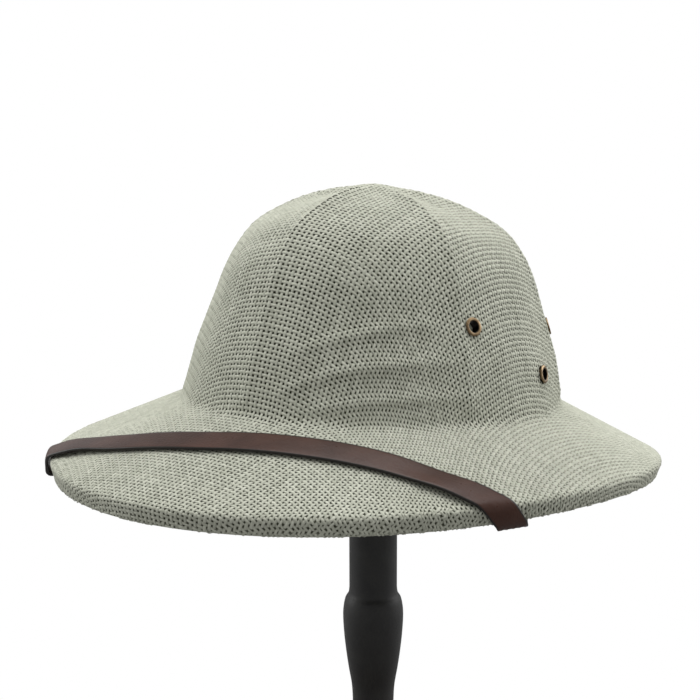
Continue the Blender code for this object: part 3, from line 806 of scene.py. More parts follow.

# %% [markdown]
# ## The stiffened wall behind the cloth
#
# Behind the open weave lies the wall that keeps the helmet's shape. It is laid 0.9 mm under the floats
# and is one closed skin: down the outside, round the lip and up the inside. A square grid of azimuths
# and rows is enough for it, with one point at the top of each face. Its outside is coloured a painted
# shade, which darkens the holes of the weave. Its map counts the yarns of the net, so the underside shows
# the same weave, in the same directions, as relief, with painted shade in its holes.

# %% The wall
EYELET_BORE_RADIUS = 3.6 * MM
EYELET_BORE_DEPTH = 14 * MM
WALL_DEPTH = 0.9 * MM
COLUMN_STEP = 4
WALL_ROWS = (
    # zone, first, until, step
    ("crown", 14, "fillet", 13),
    ("fillet", 0, "brim", 3),
    ("brim", 0, "bend", 2),
    ("bend", 0, "edge", 2),
    ("edge", 0, "lip", 4),
)
LIP_ROWS = (
    # row, depth
    (2, 0.5 * MM),
    (4, 0.3 * MM),
    (6, 0.15 * MM),
    (8, 0.0),
)
outward_section = outward(FORM)


def laid_row(row, depth):
    """One ring of the wall, at a depth under the cloth's outside."""
    return FORM[::COLUMN_STEP, row] - outward_section[::COLUMN_STEP, row] * depth


def make_wall():
    outside = [row for zone, first, until, step in WALL_ROWS
               for row in range(ROW_STARTS[zone] + first, ROW_STARTS[until], step)]
    rings = [(row, WALL_DEPTH, 0.0) for row in outside]
    rings += [(ROW_STARTS["lip"] + row, depth, 1.0) for row, depth in LIP_ROWS]
    rings += [(row, CLOTH_THICKNESS, 1.0) for row in reversed(outside)]
    points = np.concatenate([laid_row(row, depth) for row, depth, _ in rings])
    columns = AZIMUTH_COUNT // COLUMN_STEP
    number, turned, quads = ring_faces(len(rings), columns)
    poles = [FORM[0, 0] - outward_section[0, 0] * depth for depth in (WALL_DEPTH, CLOTH_THICKNESS)]
    top = len(points)
    points = placed(np.concatenate([points, poles]))
    fans = [[top, number[0, k], turned[0, k]] for k in range(columns)]
    fans += [[top + 1, turned[-1, k], number[-1, k]] for k in range(columns)]
    wall = array_mesh("helmet_wall", points, quads + fans)
    underside = [value for _, _, value in rings]
    on_brim = [float(row >= ROW_STARTS["brim"]) for row, _, _ in rings]
    add_value(wall, "underside", [*np.repeat(underside, columns), 0.0, 1.0])
    add_value(wall, "brim", [*np.repeat(on_brim, columns), 0.0, 0.0])
    runs = np.array([SECTION_RUNS[::COLUMN_STEP, row] for row, _, _ in rings])
    turn = AZIMUTHS[::COLUMN_STEP]
    flat = np.stack([runs * np.sin(turn), -runs * np.cos(turn)], -1).reshape(-1, 2)
    return wall, np.concatenate([flat, [(0, 0), (0, 0)]])


def count_yarns(flat):
    """Place in the net of each spot of the flat disc: yarns from the middle, both ways."""
    index = np.argwhere(LAID)
    tree = kdtree.KDTree(len(index))
    for number, (i, j) in enumerate(index):
        tree.insert((NET[i, j, 0], NET[i, j, 1], 0), number)
    tree.balance()
    near = index[[tree.find((x, y, 0))[1] for x, y in flat]]
    i = np.clip(near[:, 0], 1, 2 * NET_HALF - 1)
    j = np.clip(near[:, 1], 1, 2 * NET_HALF - 1)
    middle = NET[i, j]

    def slope(ahead, painted_hole_shade):
        both = NET[ahead] - NET[painted_hole_shade]
        one = NET[ahead] - middle
        other = middle - NET[painted_hole_shade]
        return np.where(np.isfinite(both), both / 2, np.where(np.isfinite(one), one, other))

    east = slope((i + 1, j), (i - 1, j))
    north = slope((i, j + 1), (i, j - 1))
    gap = flat - middle
    size = east[:, 0] * north[:, 1] - east[:, 1] * north[:, 0]
    a = (gap[:, 0] * north[:, 1] - gap[:, 1] * north[:, 0]) / size
    b = (east[:, 0] * gap[:, 1] - east[:, 1] * gap[:, 0]) / size
    counted = np.stack([i - NET_HALF + np.clip(a, -1.5, 1.5), j - NET_HALF + np.clip(b, -1.5, 1.5)], 1)
    return np.nan_to_num(counted)


helmet_wall, wall_spots = make_wall()
wall_yarns = count_yarns(wall_spots)
corner_points = np.empty(len(helmet_wall.data.loops), dtype=np.int32)
helmet_wall.data.loops.foreach_get("vertex_index", corner_points)
add_uv(helmet_wall, wall_yarns[corner_points])
print("wall points:", len(helmet_wall.data.vertices))

# %% [markdown]
# The six vent holes are bored through the wall with short round cutters that stand square on the cloth,
# as a punch would.

# %% Bore the vent holes
def eyelet_frames():
    """Each eyelet's name, side and frame on the cloth, with Z outwards."""
    for number, (place, height) in enumerate(EYELET_PLACES, start=1):
        for side, sign in (("left", 1), ("right", -1)):
            column_at = round(place * sign / 360 * AZIMUTH_COUNT) % AZIMUTH_COUNT
            row = int(np.argmin(np.abs(HEIGHTS[column_at, :ROW_STARTS["fillet"]] - height * MM)))
            axis = TILT @ Vector(outward_section[column_at, row])
            frame = axis.to_track_quat("Z", "Y").to_matrix().to_4x4()
            spot = PLACED @ Vector(FORM[column_at, row])
            yield f"eyelet_{side}_{number}", Matrix.Translation(spot) @ frame


FRAMES = dict(eyelet_frames())
cutters = []
for name, eyelet_frame in FRAMES.items():
    bpy.ops.mesh.primitive_cylinder_add(vertices=48, radius=EYELET_BORE_RADIUS, depth=EYELET_BORE_DEPTH)
    apply_place(bpy.context.object, eyelet_frame)
    cutters.append(bpy.context.object)
select_only(*cutters)
bpy.ops.object.join()
cutter = bpy.context.object
select_only(helmet_wall)
bore = helmet_wall.modifiers.new("bore", "BOOLEAN")
bore.operation = "DIFFERENCE"
bore.solver = "MANIFOLD"
bore.object = cutter
bpy.ops.object.modifier_apply(modifier="bore")
bpy.data.objects.remove(cutter)
helmet_wall.data.shade_smooth()
bpy.ops.object.shade_smooth_by_angle(angle=math.radians(50))
finish_piece(helmet_wall, "cloth", LINING_WITH_HOLE_SHADE, "helmet_shell")

# %% [markdown]
# ## The woven cloth
#
# In a plain weave every crossing shows one short float: the yarn that passes over. So the cloth is made
# of floats only, one for each crossing, with the direction alternating like the squares of a chessboard.
# A float is a small arched ribbon of twelve faces: it comes up from under its neighbour, lies flat over
# the crossing and dives again. What is left between four floats is a real hole. Width, height and tone
# vary a little from yarn to yarn, as in handwoven cloth. Four meshes hold them all.

# %% Weave the cloth
YARN_WIDTH = 0.575
ALONG = np.array((-0.76, -0.46, 0.0, 0.46, 0.76))
CREST_DEPTH = np.array((0.50, 0.09, 0.0, 0.09, 0.50)) * MM
ACROSS = np.array((-0.5, -0.34, 0.34, 0.5))
ROUND_DEPTH = np.array((0.30, 0.03, 0.03, 0.30)) * MM
FLOAT_SCATTER = 0.08 * MM
CLEAR_RADIUS = 3.9 * MM
CLEAR_REACH = 5 * MM
rng = np.random.default_rng(7)
YARN_TONES = rng.normal(0.5, 0.12, (2, 2 * NET_HALF + 1))
YARN_WIDTHS = rng.normal(1.0, 0.055, (2, 2 * NET_HALF + 1))


def weave(name, way, wanted):
    """All floats of one direction among the wanted crossings."""
    step = np.array(((1, 0), (0, 1))[way])
    i, j = np.argwhere(wanted).T
    keep = (i > 0) & (j > 0) & (i < 2 * NET_HALF) & (j < 2 * NET_HALF) & ((i + j) % 2 == way)
    i, j = i[keep], j[keep]
    keep = LAID[i + 1, j] & LAID[i - 1, j] & LAID[i, j + 1] & LAID[i, j - 1]
    i, j = i[keep], j[keep]
    before, middle, after = (NODES[i + k * step[0], j + k * step[1]] for k in (-1, 0, 1))
    up_before, up, up_after = (NORMALS[i + k * step[0], j + k * step[1]] for k in (-1, 0, 1))
    t = ALONG[None, :, None]
    line = (middle[:, None] + t * (after - before)[:, None] / 2
            + t ** 2 * (after + before - 2 * middle)[:, None] / 2)
    lift = up[:, None] + t * (up_after - up_before)[:, None] / 2
    lift /= np.linalg.norm(lift, axis=2, keepdims=True)
    way_on = (after - before)[:, None] / 2 + t * (after + before - 2 * middle)[:, None]
    side = np.cross(lift, way_on)
    side /= np.linalg.norm(side, axis=2, keepdims=True)
    yarn = np.where(way == 0, j, i)
    crossing = NODES[i + step[1], j + step[0]] - NODES[i - step[1], j - step[0]]
    along_yarn = (after - before) / np.linalg.norm(after - before, axis=1, keepdims=True)
    room = np.linalg.norm(np.cross(crossing, along_yarn), axis=1) / 2
    room = np.clip(room, 0.3 * PITCHES[1], 1.1 * PITCHES[0])
    width = YARN_WIDTH * (0.2 * PITCHES[1] + 0.8 * room)
    width = width * YARN_WIDTHS[way, yarn] * rng.normal(1.0, 0.06, len(i))
    depth = np.hypot(CREST_DEPTH[None, :, None], ROUND_DEPTH[None, None, :])
    depth = depth + rng.uniform(0, FLOAT_SCATTER, len(i))[:, None, None]
    beside = (ACROSS[None, None, :] * width[:, None, None])[..., None]
    points = line[:, :, None] + side[:, :, None] * beside - lift[:, :, None] * depth[..., None]
    points = placed(points.reshape(-1, 3))
    for eyelet_frame in FRAMES.values():
        centre = np.array(eyelet_frame.translation)
        axis = np.array(eyelet_frame.col[2][:3])
        gap = points - centre
        sideways = gap - (gap @ axis)[:, None] * axis
        distance = np.linalg.norm(sideways, axis=1)
        near = (distance < CLEAR_RADIUS) & (np.abs(gap @ axis) < CLEAR_REACH)
        points[near] += sideways[near] * (CLEAR_RADIUS / np.maximum(distance[near], 1e-6) - 1)[:, None]
    rows, columns = len(ALONG), len(ACROSS)
    grid = np.arange(rows * columns).reshape(rows, columns)
    pattern = np.stack([grid[:-1, :-1], grid[1:, :-1], grid[1:, 1:], grid[:-1, 1:]], -1).reshape(-1, 4)
    faces = (pattern[None] + (np.arange(len(i)) * rows * columns)[:, None, None]).reshape(-1, 4)
    made = array_mesh(name, points, faces.tolist())
    tone = np.repeat(YARN_TONES[way, yarn] + rng.normal(0, 0.14, len(i)), rows * columns)
    add_value(made, "tone", tone)
    count = np.where(way == 0, i, j)
    u = np.repeat((count[:, None] + ALONG[None]), columns, axis=1).reshape(len(i), rows, columns)
    v = np.broadcast_to(yarn[:, None, None] + ACROSS[None, None, :], u.shape)
    flat = np.stack([u, v], -1).reshape(-1, 2)
    add_uv(made, flat[faces.ravel()])
    return made


def away_from_eyelets():
    """Crossings that aren't punched out by a vent hole."""
    free = np.ones(INSIDE.shape, bool)
    where = placed(NODES.reshape(-1, 3)).reshape(NODES.shape)
    for eyelet_frame in FRAMES.values():
        centre = np.array(eyelet_frame.translation)
        free &= np.linalg.norm(where - centre, axis=-1) > EYELET_BORE_RADIUS
    return free


FREE = away_from_eyelets() & INSIDE
for part, wanted in (("crown", FREE & ON_CROWN), ("brim", FREE & ~ON_CROWN)):
    for way, title in enumerate(("weft", "warp")):
        cloth = weave(f"{part}_{title}", way, wanted)
        finish_piece(cloth, "cloth", SAGE_YARN, "helmet_shell")

# %% [markdown]
# ## Vent eyelets
#
# Each vent is lined with a pressed brass eyelet: a rolled flange outside, a short barrel through the
# wall, and a flat turned-over ring inside. The flange is a ring that was flattened a little; the barrel
# is a tube given thickness inwards. The brass has gone brown, and is brightest where it is rubbed.

# %% Brass and the eyelets
def make_brass(name, light, dark):
    made, tree, shader, place = new_finish(name, light)
    blotches, grain = grained(tree, place, 260.0, 2500.0)
    share = tree.ranged(blotches, 0.35, 0.65, 0.0, 1.0)
    worn = tree.mixed(share, (*dark, 1), (*light, 1))
    # Painted shade: where the eyelet is marked, the brass turns near black, for the dark vent hole.
    colour = tree.mixed(tree.attribute("vent_hole_shade"), worn, (0.012, 0.010, 0.008, 1))
    tree.join(colour, shader.inputs["Base Color"])
    shader.inputs["Metallic"].default_value = 1.0
    tree.join(tree.ranged(grain, 0.3, 0.7, 0.28, 0.5), shader.inputs["Roughness"])
    set_relief(tree, shader, grain, 0.00003)
    return made


AGED_BRASS = make_brass("aged_brass", (0.30, 0.215, 0.125), (0.11, 0.075, 0.042))
EYELET_RADIUS = 4.6 * MM
EYELET_HOLE_RADIUS = 2.7 * MM
EYELET_FLANGE_HEIGHT = 1.3 * MM
SEAT_GAP = 0.3 * MM
BARREL_PAST_WALL = 1.8 * MM
BARREL_SPREAD = 0.45 * MM
BARREL_WALL = 0.4 * MM
TURNED_RING_RADIUS = 0.75 * MM
TURNED_RING_DROP = 1.4 * MM
TURNED_RING_FLATNESS = 0.5


def flatten(made, share, level):
    """Resize a ring in height about its own level."""
    bpy.ops.object.mode_set(mode="EDIT")
    bpy.ops.mesh.select_all(action="SELECT")
    bpy.ops.transform.resize(value=(1, 1, share), center_override=(0, 0, level))
    bpy.ops.object.mode_set(mode="OBJECT")
    return made


def make_eyelet(name, frame_at):
    roll = (EYELET_RADIUS - EYELET_HOLE_RADIUS) / 2
    middle = (SEAT_GAP + EYELET_FLANGE_HEIGHT) / 2
    bpy.ops.mesh.primitive_torus_add(major_radius=EYELET_HOLE_RADIUS + roll, minor_radius=roll,
                                     major_segments=56, minor_segments=16, location=(0, 0, middle))
    flange = flatten(bpy.context.object, (EYELET_FLANGE_HEIGHT - SEAT_GAP) / 2 / roll, middle)
    depth = CLOTH_THICKNESS + BARREL_PAST_WALL
    bpy.ops.mesh.primitive_cylinder_add(vertices=56, radius=EYELET_HOLE_RADIUS + BARREL_SPREAD, depth=depth,
                                        end_fill_type="NOTHING", location=(0, 0, middle - depth / 2))
    barrel = bpy.context.object
    wall = barrel.modifiers.new("thickness", "SOLIDIFY")
    wall.thickness = BARREL_WALL
    wall.offset = -1
    bpy.ops.object.modifier_apply(modifier="thickness")
    low = -CLOTH_THICKNESS - TURNED_RING_DROP
    bpy.ops.mesh.primitive_torus_add(major_radius=EYELET_HOLE_RADIUS + TURNED_RING_RADIUS,
                                     minor_radius=TURNED_RING_RADIUS, major_segments=56,
                                     minor_segments=10, location=(0, 0, low))
    ring = flatten(bpy.context.object, TURNED_RING_FLATNESS, low)
    for piece in (flange, barrel, ring):
        apply_place(piece)
    select_only(flange, barrel, ring)
    bpy.ops.object.join()
    eyelet = bpy.context.object
    eyelet.name = name
    face_outwards(eyelet)
    spots = np.array([corner.co for corner in eyelet.data.vertices])
    # The eyelet's inner parts, towards and down the barrel, are marked for painted shade in the vent hole.
    inward = EYELET_HOLE_RADIUS + 0.55 * roll - np.hypot(spots[:, 0], spots[:, 1])
    below_crest = spots[:, 2] < 0.9 * EYELET_FLANGE_HEIGHT
    add_value(eyelet, "vent_hole_shade", np.clip(inward / (0.35 * roll), 0, 1) * below_crest)
    apply_place(eyelet, frame_at)
    bpy.ops.object.shade_smooth_by_angle(angle=math.radians(45))
    return eyelet


for name, eyelet_frame in FRAMES.items():
    finish_piece(make_eyelet(name + "_ring", eyelet_frame), "eyelet_brass", AGED_BRASS, name)

# %% [markdown]
# ## The chin strap
#
# The strap is worn up over the front brim. It is one flat band of leather, so it is drawn first as a
# line on the flat brim and then laid: each spot of the band lies on the brim's slope, bends over the
# edge, goes down it and turns under the lip. Stiff leather stands off a little more before it bends.
# Under the brim the strap crosses to the crown's inside, where it is fixed. Its section has eased edges,
# painted dark; on one top margin the dark reaches further, as painted shadow along the edge.

# %% Lay the strap
STRAP_GAP = 0.85 * MM
STRAP_WIDTH = 14 * MM
STRAP_THICKNESS = 1.5 * MM
STRAP_FINE_STEP = 1.5 * MM
STRAP_LONG_STEP = 4 * MM
STRAP_FINE_FROM = 88 * MM
STRAP_END_HEIGHT = 24 * MM
STRAP_END_AZIMUTH = 80
STRAP_END_SHARES = (0.12, 0.2)
STRAP_END_REACH = 0.6
STRAP_START_PULL = 0.9
STRAP_END_PULL = 0.7
STRAP_END_LEAN = 0.6
STRAP_RIVET_SHARE = 0.3
STRAP_RUN_STEPS = 24
STRAP_LIP_TURN = math.radians(115)
STRAP_LIFT = 1.3 * MM
STRAP_LIFT_BACK = 10 * MM
STRAP_LIFT_SPREAD = 9 * MM
STRAP_LINE = np.array((
    # right_to_left, back
    (-137, -129.0),
    (-114, -131.0),
    (-92, -132.5),
    (-67, -133.2),
    (-45, -134.0),
    (-10, -131.0),
    (13, -125.7),
    (39, -117.8),
    (60, -110.1),
    (79, -103.2),
    (98, -98.0),
    (125, -90.5),
    (146, -84.0),
    (165, -77.5),
)) * MM
# Round the strap's section: share of the half width, share of the thickness, and how much dark it has: edge
# paint, and on one top margin painted shadow too.
STRAP_SECTION = (
    # across, up, edge paint and shadow
    (-0.95, 0.00, 0.6),
    (-0.50, 0.00, 0.0),
    (0.00, 0.00, 0.0),
    (0.50, 0.00, 0.0),
    (0.95, 0.00, 0.6),
    (1.00, 0.20, 1.0),
    (1.00, 0.62, 1.0),
    (0.975, 0.88, 1.0),
    # Edge paint carried further onto this top margin: painted shadow along the strap's edge.
    (0.92, 0.98, 0.9),
    (0.80, 1.00, 0.0),
    (0.40, 1.00, 0.0),
    (0.00, 1.00, 0.0),
    (-0.40, 1.00, 0.0),
    (-0.80, 1.00, 0.0),
    (-0.92, 0.98, 0.3),
    (-0.975, 0.88, 1.0),
    (-1.00, 0.62, 1.0),
    (-1.00, 0.20, 1.0),
)


def on_ray(azimuth, radius, height):
    return Vector((math.sin(azimuth) * radius, -math.cos(azimuth) * radius, height))


def rim_point(azimuth):
    """Where the brim's slope ends and its bend begins."""
    slope = math.atan(brim_slope(azimuth))
    radius = brim_radius(azimuth) - EDGE_BEND * (1 - math.sin(slope))
    return on_ray(azimuth, radius, -math.tan(slope) * (radius - brow_radius(azimuth)))


def edge_normal(azimuth):
    """Outward direction of the brim's edge, seen from above."""
    ahead = on_ray(azimuth + 0.01, brim_radius(azimuth + 0.01), 0)
    painted_hole_shade = on_ray(azimuth - 0.01, brim_radius(azimuth - 0.01), 0)
    along = (ahead - painted_hole_shade).normalized()
    across = Vector((along.y, -along.x, 0))
    return across if across.dot(on_ray(azimuth, 1, 0)) > 0 else -across


def leaning(normal, turn):
    """Straight up, turned by an angle towards the brim's edge normal."""
    return normal * math.sin(turn) + Vector((0, 0, math.cos(turn)))


def draped(spot, rise):
    """Where a spot of the flat strap comes to lie: a little above the brim, and more just before its edge."""
    azimuth = math.atan2(spot.x, -spot.y)
    for _ in range(6):
        normal = edge_normal(azimuth)
        rim = rim_point(azimuth)
        past = (spot - rim).dot(normal)
        beside = spot - normal * past
        azimuth = math.atan2(beside.x, -beside.y)
    slope = math.atan(brim_slope(azimuth))
    square = leaning(normal, slope)
    rise = rise + STRAP_LIFT * bell(past + STRAP_LIFT_BACK, STRAP_LIFT_SPREAD)
    if past < 0:
        around = math.atan2(spot.x, -spot.y)
        height = -brim_slope(around) * (spot.to_2d().length - brow_radius(around))
        return Vector((spot.x, spot.y, height)) + square * rise
    centre = rim - square * EDGE_BEND
    middle = STRAP_GAP + STRAP_THICKNESS / 2
    bend = (EDGE_BEND + middle) * (math.pi / 2 - slope)
    if past < bend:
        turn = slope + (math.pi / 2 - slope) * past / bend
        return centre + leaning(normal, turn) * (EDGE_BEND + rise)
    past -= bend
    if past < EDGE_HEIGHT:
        return centre + normal * (EDGE_BEND + rise) + Vector((0, 0, -past))
    past -= EDGE_HEIGHT
    lip = centre + normal * (EDGE_BEND - LIP_RADIUS) + Vector((0, 0, -EDGE_HEIGHT))
    turn_length = (LIP_RADIUS + middle) * STRAP_LIP_TURN
    turn = STRAP_LIP_TURN * min(past / turn_length, 1.0)
    point = lip + (normal * math.cos(turn) - Vector((0, 0, math.sin(turn)))) * (LIP_RADIUS + rise)
    return point - leaning(normal, turn) * max(past - turn_length, 0.0)


def strap_rows():
    """Rows of the strap's section over the brim, from the wearer's right to the left."""
    line = smooth_curve(STRAP_LINE, np.linspace(0, 1, 1601))
    travelled = np.concatenate([[0], np.cumsum(np.linalg.norm(np.diff(line, axis=0), axis=1))])
    rows = []
    stop = 0.0
    for number in range(len(line) - 1):
        if travelled[number] < stop:
            continue
        place = Vector((*line[number], 0))
        way_on = Vector((*(line[number + 1] - line[number]), 0)).normalized()
        side = Vector((-way_on.y, way_on.x, 0))
        rows.append([draped(place + side * across * STRAP_WIDTH / 2, STRAP_GAP + up * STRAP_THICKNESS)
                     for across, up, _ in STRAP_SECTION])
        stop += STRAP_FINE_STEP if abs(place.x) > STRAP_FINE_FROM else STRAP_LONG_STEP
    return rows


def row_middle(row):
    """Middle of a row: halfway between the middle of its lower and of its upper face."""
    return (row[2] + row[11]) / 2


def inner_run(last, before, sign):
    """The hidden stretch from under the brim's edge to the crown's inside."""
    middle = row_middle(last)
    way_on = (middle - row_middle(before)).normalized()
    width = (last[3] - last[1]).normalized()
    column_at = round(STRAP_END_AZIMUTH * sign / 360 * AZIMUTH_COUNT) % AZIMUTH_COUNT
    levels = HEIGHTS[column_at, :ROW_STARTS["fillet"]]
    low, high = (int(np.argmin(np.abs(levels - share * CROWN_HEIGHT))) for share in STRAP_END_SHARES)
    foot, above = (Vector(SMOOTH[column_at, row] - outward_section[column_at, row] * CLOTH_THICKNESS)
                   for row in (low, high))
    up = (above - foot).normalized()
    inwards = -Vector(outward_section[column_at, low])
    goal = foot + inwards * (STRAP_GAP + STRAP_THICKNESS / 2)
    end = goal + up * STRAP_END_HEIGHT * STRAP_END_REACH
    end_width = up.cross(inwards).normalized()
    if end_width.dot(width) < 0:
        end_width.negate()
    span = (goal - middle).length
    start_pull = way_on * span * STRAP_START_PULL
    end_pull = (up - inwards * STRAP_END_LEAN).normalized() * span * STRAP_END_PULL
    spots = []
    for step in range(1, STRAP_RUN_STEPS + 1):
        t = step / STRAP_RUN_STEPS
        spot = (middle * (2 * t ** 3 - 3 * t ** 2 + 1) + start_pull * (t ** 3 - 2 * t ** 2 + t)
                + goal * (3 * t ** 2 - 2 * t ** 3) + end_pull * (t ** 3 - t ** 2))
        slope = (middle * (6 * t ** 2 - 6 * t) + start_pull * (3 * t ** 2 - 4 * t + 1)
                 + goal * (6 * t - 6 * t ** 2) + end_pull * (3 * t ** 2 - 2 * t)).normalized()
        across = width.lerp(end_width, t)
        spots.append((spot, (across - slope * across.dot(slope)).normalized(), slope))
    spots += [(goal.lerp(end, lift), end_width, up) for lift in (0.35, 0.7, 1.0)]
    rows = []
    for spot, across, slope in spots:
        out = across.cross(slope).normalized()
        if out.dot(inwards + Vector((0, 0, -1))) < 0:
            out.negate()
        rows.append([spot + across * (a * STRAP_WIDTH / 2) + out * ((u - 0.5) * STRAP_THICKNESS)
                     for a, u, _ in STRAP_SECTION])
    return rows, (goal + up * STRAP_END_HEIGHT * STRAP_RIVET_SHARE, inwards)


def make_leather():
    made, tree, shader, place = new_finish("brown_leather", (0.14, 0.09, 0.07))
    blotches, grain = grained(tree, place, 60.0, 700.0)
    wear = tree.ranged(blotches, 0.35, 0.7, 0.0, 1.0)
    colour = tree.mixed(wear, (0.034, 0.013, 0.008, 1), (0.056, 0.024, 0.016, 1))
    # Dark edges: real edge paint, and on one top margin painted shadow of the strap's edge.
    edge = tree.ranged(tree.attribute("edge_paint_and_shadow"), 0.25, 0.6, 0.0, 1.0)
    tree.join(tree.mixed(edge, colour, (0.018, 0.016, 0.014, 1)), shader.inputs["Base Color"])
    tree.join(tree.ranged(grain, 0.3, 0.7, 0.27, 0.36), shader.inputs["Roughness"])
    shader.inputs["Specular IOR Level"].default_value = 0.22
    pebbles = tree.add("ShaderNodeTexVoronoi", {"Vector": place, "Scale": 900.0}, feature="SMOOTH_F1")
    height = tree.math("ADD", tree.math("MULTIPLY", pebbles.outputs["Distance"], -1.0),
                       tree.math("MULTIPLY", grain, 0.5))
    set_relief(tree, shader, height, 0.00006)
    return made


def make_strap():
    rows = strap_rows()
    left_run, left_end = inner_run(rows[-1], rows[-2], 1)
    right_run, right_end = inner_run(rows[0], rows[1], -1)
    rows = list(reversed(right_run)) + rows + left_run
    middles = [row_middle(row) for row in rows]
    length = sum((b - a).length for a, b in zip(middles, middles[1:]))
    points = placed(np.array([corner for row in rows for corner in row]))
    number, _, quads = ring_faces(len(rows), len(STRAP_SECTION))
    ends = [number[0].tolist(), number[-1][::-1].tolist()]
    strap = array_mesh("leather_strap", points, quads + ends)
    add_value(strap, "edge_paint_and_shadow", np.tile([edge_paint_and_shadow for _, _, edge_paint_and_shadow in STRAP_SECTION], len(rows)))
    face_outwards(strap)
    bpy.ops.object.shade_smooth_by_angle(angle=math.radians(50))
    print("strap length in mm:", round(length / MM))
    return strap, {"left": left_end, "right": right_end}


BROWN_LEATHER = make_leather()
leather_strap, strap_ends = make_strap()
finish_piece(leather_strap, "strap_leather", BROWN_LEATHER, "chin_strap")

# %% [markdown]
# Inside the crown each end of the strap is held by a low domed rivet.

# %% Rivets
RIVET_RADIUS = 4 * MM
RIVET_HEIGHT = 1.6 * MM


def make_rivet(name, spot, inwards):
    bpy.ops.mesh.primitive_cylinder_add(vertices=40, radius=RIVET_RADIUS, depth=0.5 * RIVET_HEIGHT,
                                        location=(0, 0, 0.25 * RIVET_HEIGHT))
    rivet = bpy.context.object
    rivet.name = name
    apply_place(rivet)
    bpy.ops.object.mode_set(mode="EDIT")
    shape = bmesh.from_edit_mesh(rivet.data)
    for face in shape.faces:
        face.select_set(face.normal.z > 0.9)
    bmesh.update_edit_mesh(rivet.data)
    for narrower, rise in ((0.86, 0.2), (0.72, 0.14), (0.55, 0.09), (0.3, 0.05)):
        bpy.ops.mesh.extrude_region_move(TRANSFORM_OT_translate={"value": (0, 0, rise * RIVET_HEIGHT)})
        bpy.ops.transform.resize(value=(narrower, narrower, 1), center_override=(0, 0, 0))
    bpy.ops.object.mode_set(mode="OBJECT")
    frame_at = (TILT @ inwards).to_track_quat("Z", "Y").to_matrix().to_4x4()
    seat = spot + inwards * (STRAP_THICKNESS / 2 + SEAT_GAP)
    apply_place(rivet, Matrix.Translation(PLACED @ seat) @ frame_at)
    face_outwards(rivet)
    bpy.ops.object.shade_smooth_by_angle(angle=math.radians(40))
    return rivet


RIVET_BRASS = make_brass("rivet_brass", (0.45, 0.33, 0.19), (0.25, 0.17, 0.09))
for side, (spot, inwards) in strap_ends.items():
    finish_piece(make_rivet(f"strap_rivet_{side}_head", spot, inwards), "rivet_brass", RIVET_BRASS,
                 f"strap_rivet_{side}")

# %% [markdown]
# ## The stand
#
# The post is turned wood, painted a dull black. It is raised from a round face by extruding and
# resizing ring after ring along the turned outline. The tool leaves very fine rings that catch soft
# light. The foot is a flat brown disc with an eased rim.

# %% Wood finishes
def make_black_wood():
    made, tree, shader, place = new_finish("black_wood", (0.02, 0.02, 0.02))
    blotches, grain = grained(tree, place, 90.0, 1200.0)
    tree.join(tree.mixed(tree.ranged(blotches, 0.35, 0.65, 0.0, 1.0), (0.006, 0.006, 0.006, 1),
                         (0.012, 0.012, 0.011, 1)), shader.inputs["Base Color"])
    tree.join(tree.ranged(grain, 0.3, 0.7, 0.5, 0.62), shader.inputs["Roughness"])
    rings = tree.add("ShaderNodeTexWave", {"Vector": place, "Scale": 420.0, "Distortion": 1.5, "Detail": 2.0},
                     wave_type="BANDS", bands_direction="Z")
    set_relief(tree, shader, tree.math("ADD", rings.outputs["Fac"], grain), 0.00002)
    return made


def make_brown_wood(name, light, dark):
    made, tree, shader, place = new_finish(name, light)
    stretched = tree.add("ShaderNodeMapping", {"Vector": place, "Scale": (1.0, 9.0, 9.0)})
    streaks = tree.noise(stretched.outputs["Vector"], 14.0, 6.0, 0.6)
    blotches, grain = grained(tree, place, 30.0, 1000.0)
    share = tree.math("ADD", tree.ranged(streaks, 0.35, 0.65, 0.0, 0.8), tree.math("MULTIPLY", blotches, 0.3))
    tree.join(tree.mixed(share, (*dark, 1), (*light, 1)), shader.inputs["Base Color"])
    tree.join(tree.ranged(grain, 0.3, 0.7, 0.4, 0.55), shader.inputs["Roughness"])
    set_relief(tree, shader, streaks, 0.00006)
    return made


BLACK_WOOD = make_black_wood()
BROWN_WOOD = make_brown_wood("brown_wood", (0.21, 0.14, 0.095), (0.10, 0.062, 0.04))
PAD_WOOD = make_brown_wood("pad_wood", (0.18, 0.12, 0.075), (0.09, 0.055, 0.035))
print("wood finishes ready")

# %% [markdown]
# One table holds the post's outline from the foot up; rings at equal shares of a smooth curve through it
# give the turned swell.

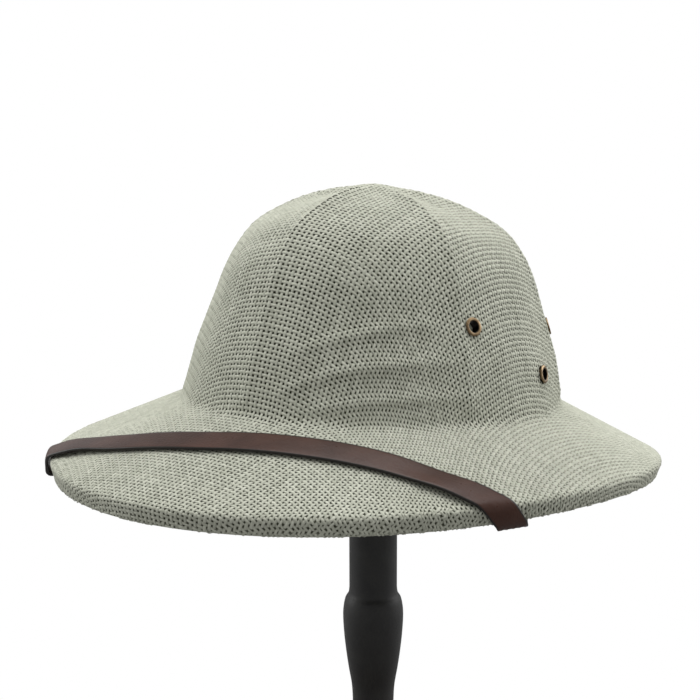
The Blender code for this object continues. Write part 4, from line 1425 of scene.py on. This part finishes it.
# %% Post, foot and pad
POST_PROFILE = np.array((
    # height, radius
    (18.3, 19.0),
    (23.0, 18.5),
    (29.0, 14.5),
    (38.0, 11.6),
    (50.0, 10.8),
    (60.0, 10.9),
    (68.0, 11.4),
    (77.0, 12.9),
    (86.0, 14.2),
    (95.0, 15.2),
    (104.0, 15.8),
    (110.0, 15.7),
    (115.5, 14.7),
    (118.5, 13.0),
    (122.0, 12.5),
    (210.0, 12.5),
    (301.7, 12.5),
)) * MM
POST_SIDES = 72
TURNED_ROWS = 15


def raise_rings(name, outline, sides):
    """A turned solid: a round face, extruded and resized up to each height and radius in turn."""
    low, first = outline[0]
    bpy.ops.mesh.primitive_circle_add(vertices=sides, radius=first, fill_type="NGON", location=(0, 0, low))
    made = bpy.context.object
    made.name = name
    apply_place(made)
    bpy.ops.object.mode_set(mode="EDIT")
    bpy.ops.mesh.select_all(action="SELECT")
    for (low, wide), (high, wide_next) in zip(outline[:-1], outline[1:]):
        bpy.ops.mesh.extrude_region_move(TRANSFORM_OT_translate={"value": (0, 0, high - low)})
        bpy.ops.transform.resize(value=(wide_next / wide, wide_next / wide, 1), center_override=(0, 0, 0))
    bpy.ops.object.mode_set(mode="OBJECT")
    face_outwards(made)
    bpy.ops.object.shade_smooth_by_angle(angle=math.radians(38))
    return made


turned_part = smooth_curve(POST_PROFILE[:TURNED_ROWS], np.linspace(0, 1, 71))
post_outline = [*turned_part.tolist(), *POST_PROFILE[TURNED_ROWS:].tolist()]
finish_piece(raise_rings("turned_post", post_outline, POST_SIDES), "post_wood", BLACK_WOOD, "stand_post")

BASE_RADIUS = 80 * MM
BASE_THICKNESS = 18 * MM
BASE_ROUNDING = 4 * MM
BASE_CHAMFER = 1 * MM
round_turns = np.linspace(0, math.pi / 2, 9)
base_outline = [(0, BASE_RADIUS - BASE_CHAMFER), (BASE_CHAMFER, BASE_RADIUS)]
base_outline += [(BASE_THICKNESS - BASE_ROUNDING * (1 - math.sin(turn)),
                  BASE_RADIUS - BASE_ROUNDING * (1 - math.cos(turn))) for turn in round_turns]
finish_piece(raise_rings("round_foot", base_outline, 128), "base_wood", BROWN_WOOD, "stand_base")

pad = frame["nodes"]["stand_head"]
pad.data.materials.clear()
pad.data.materials.append(PAD_WOOD)
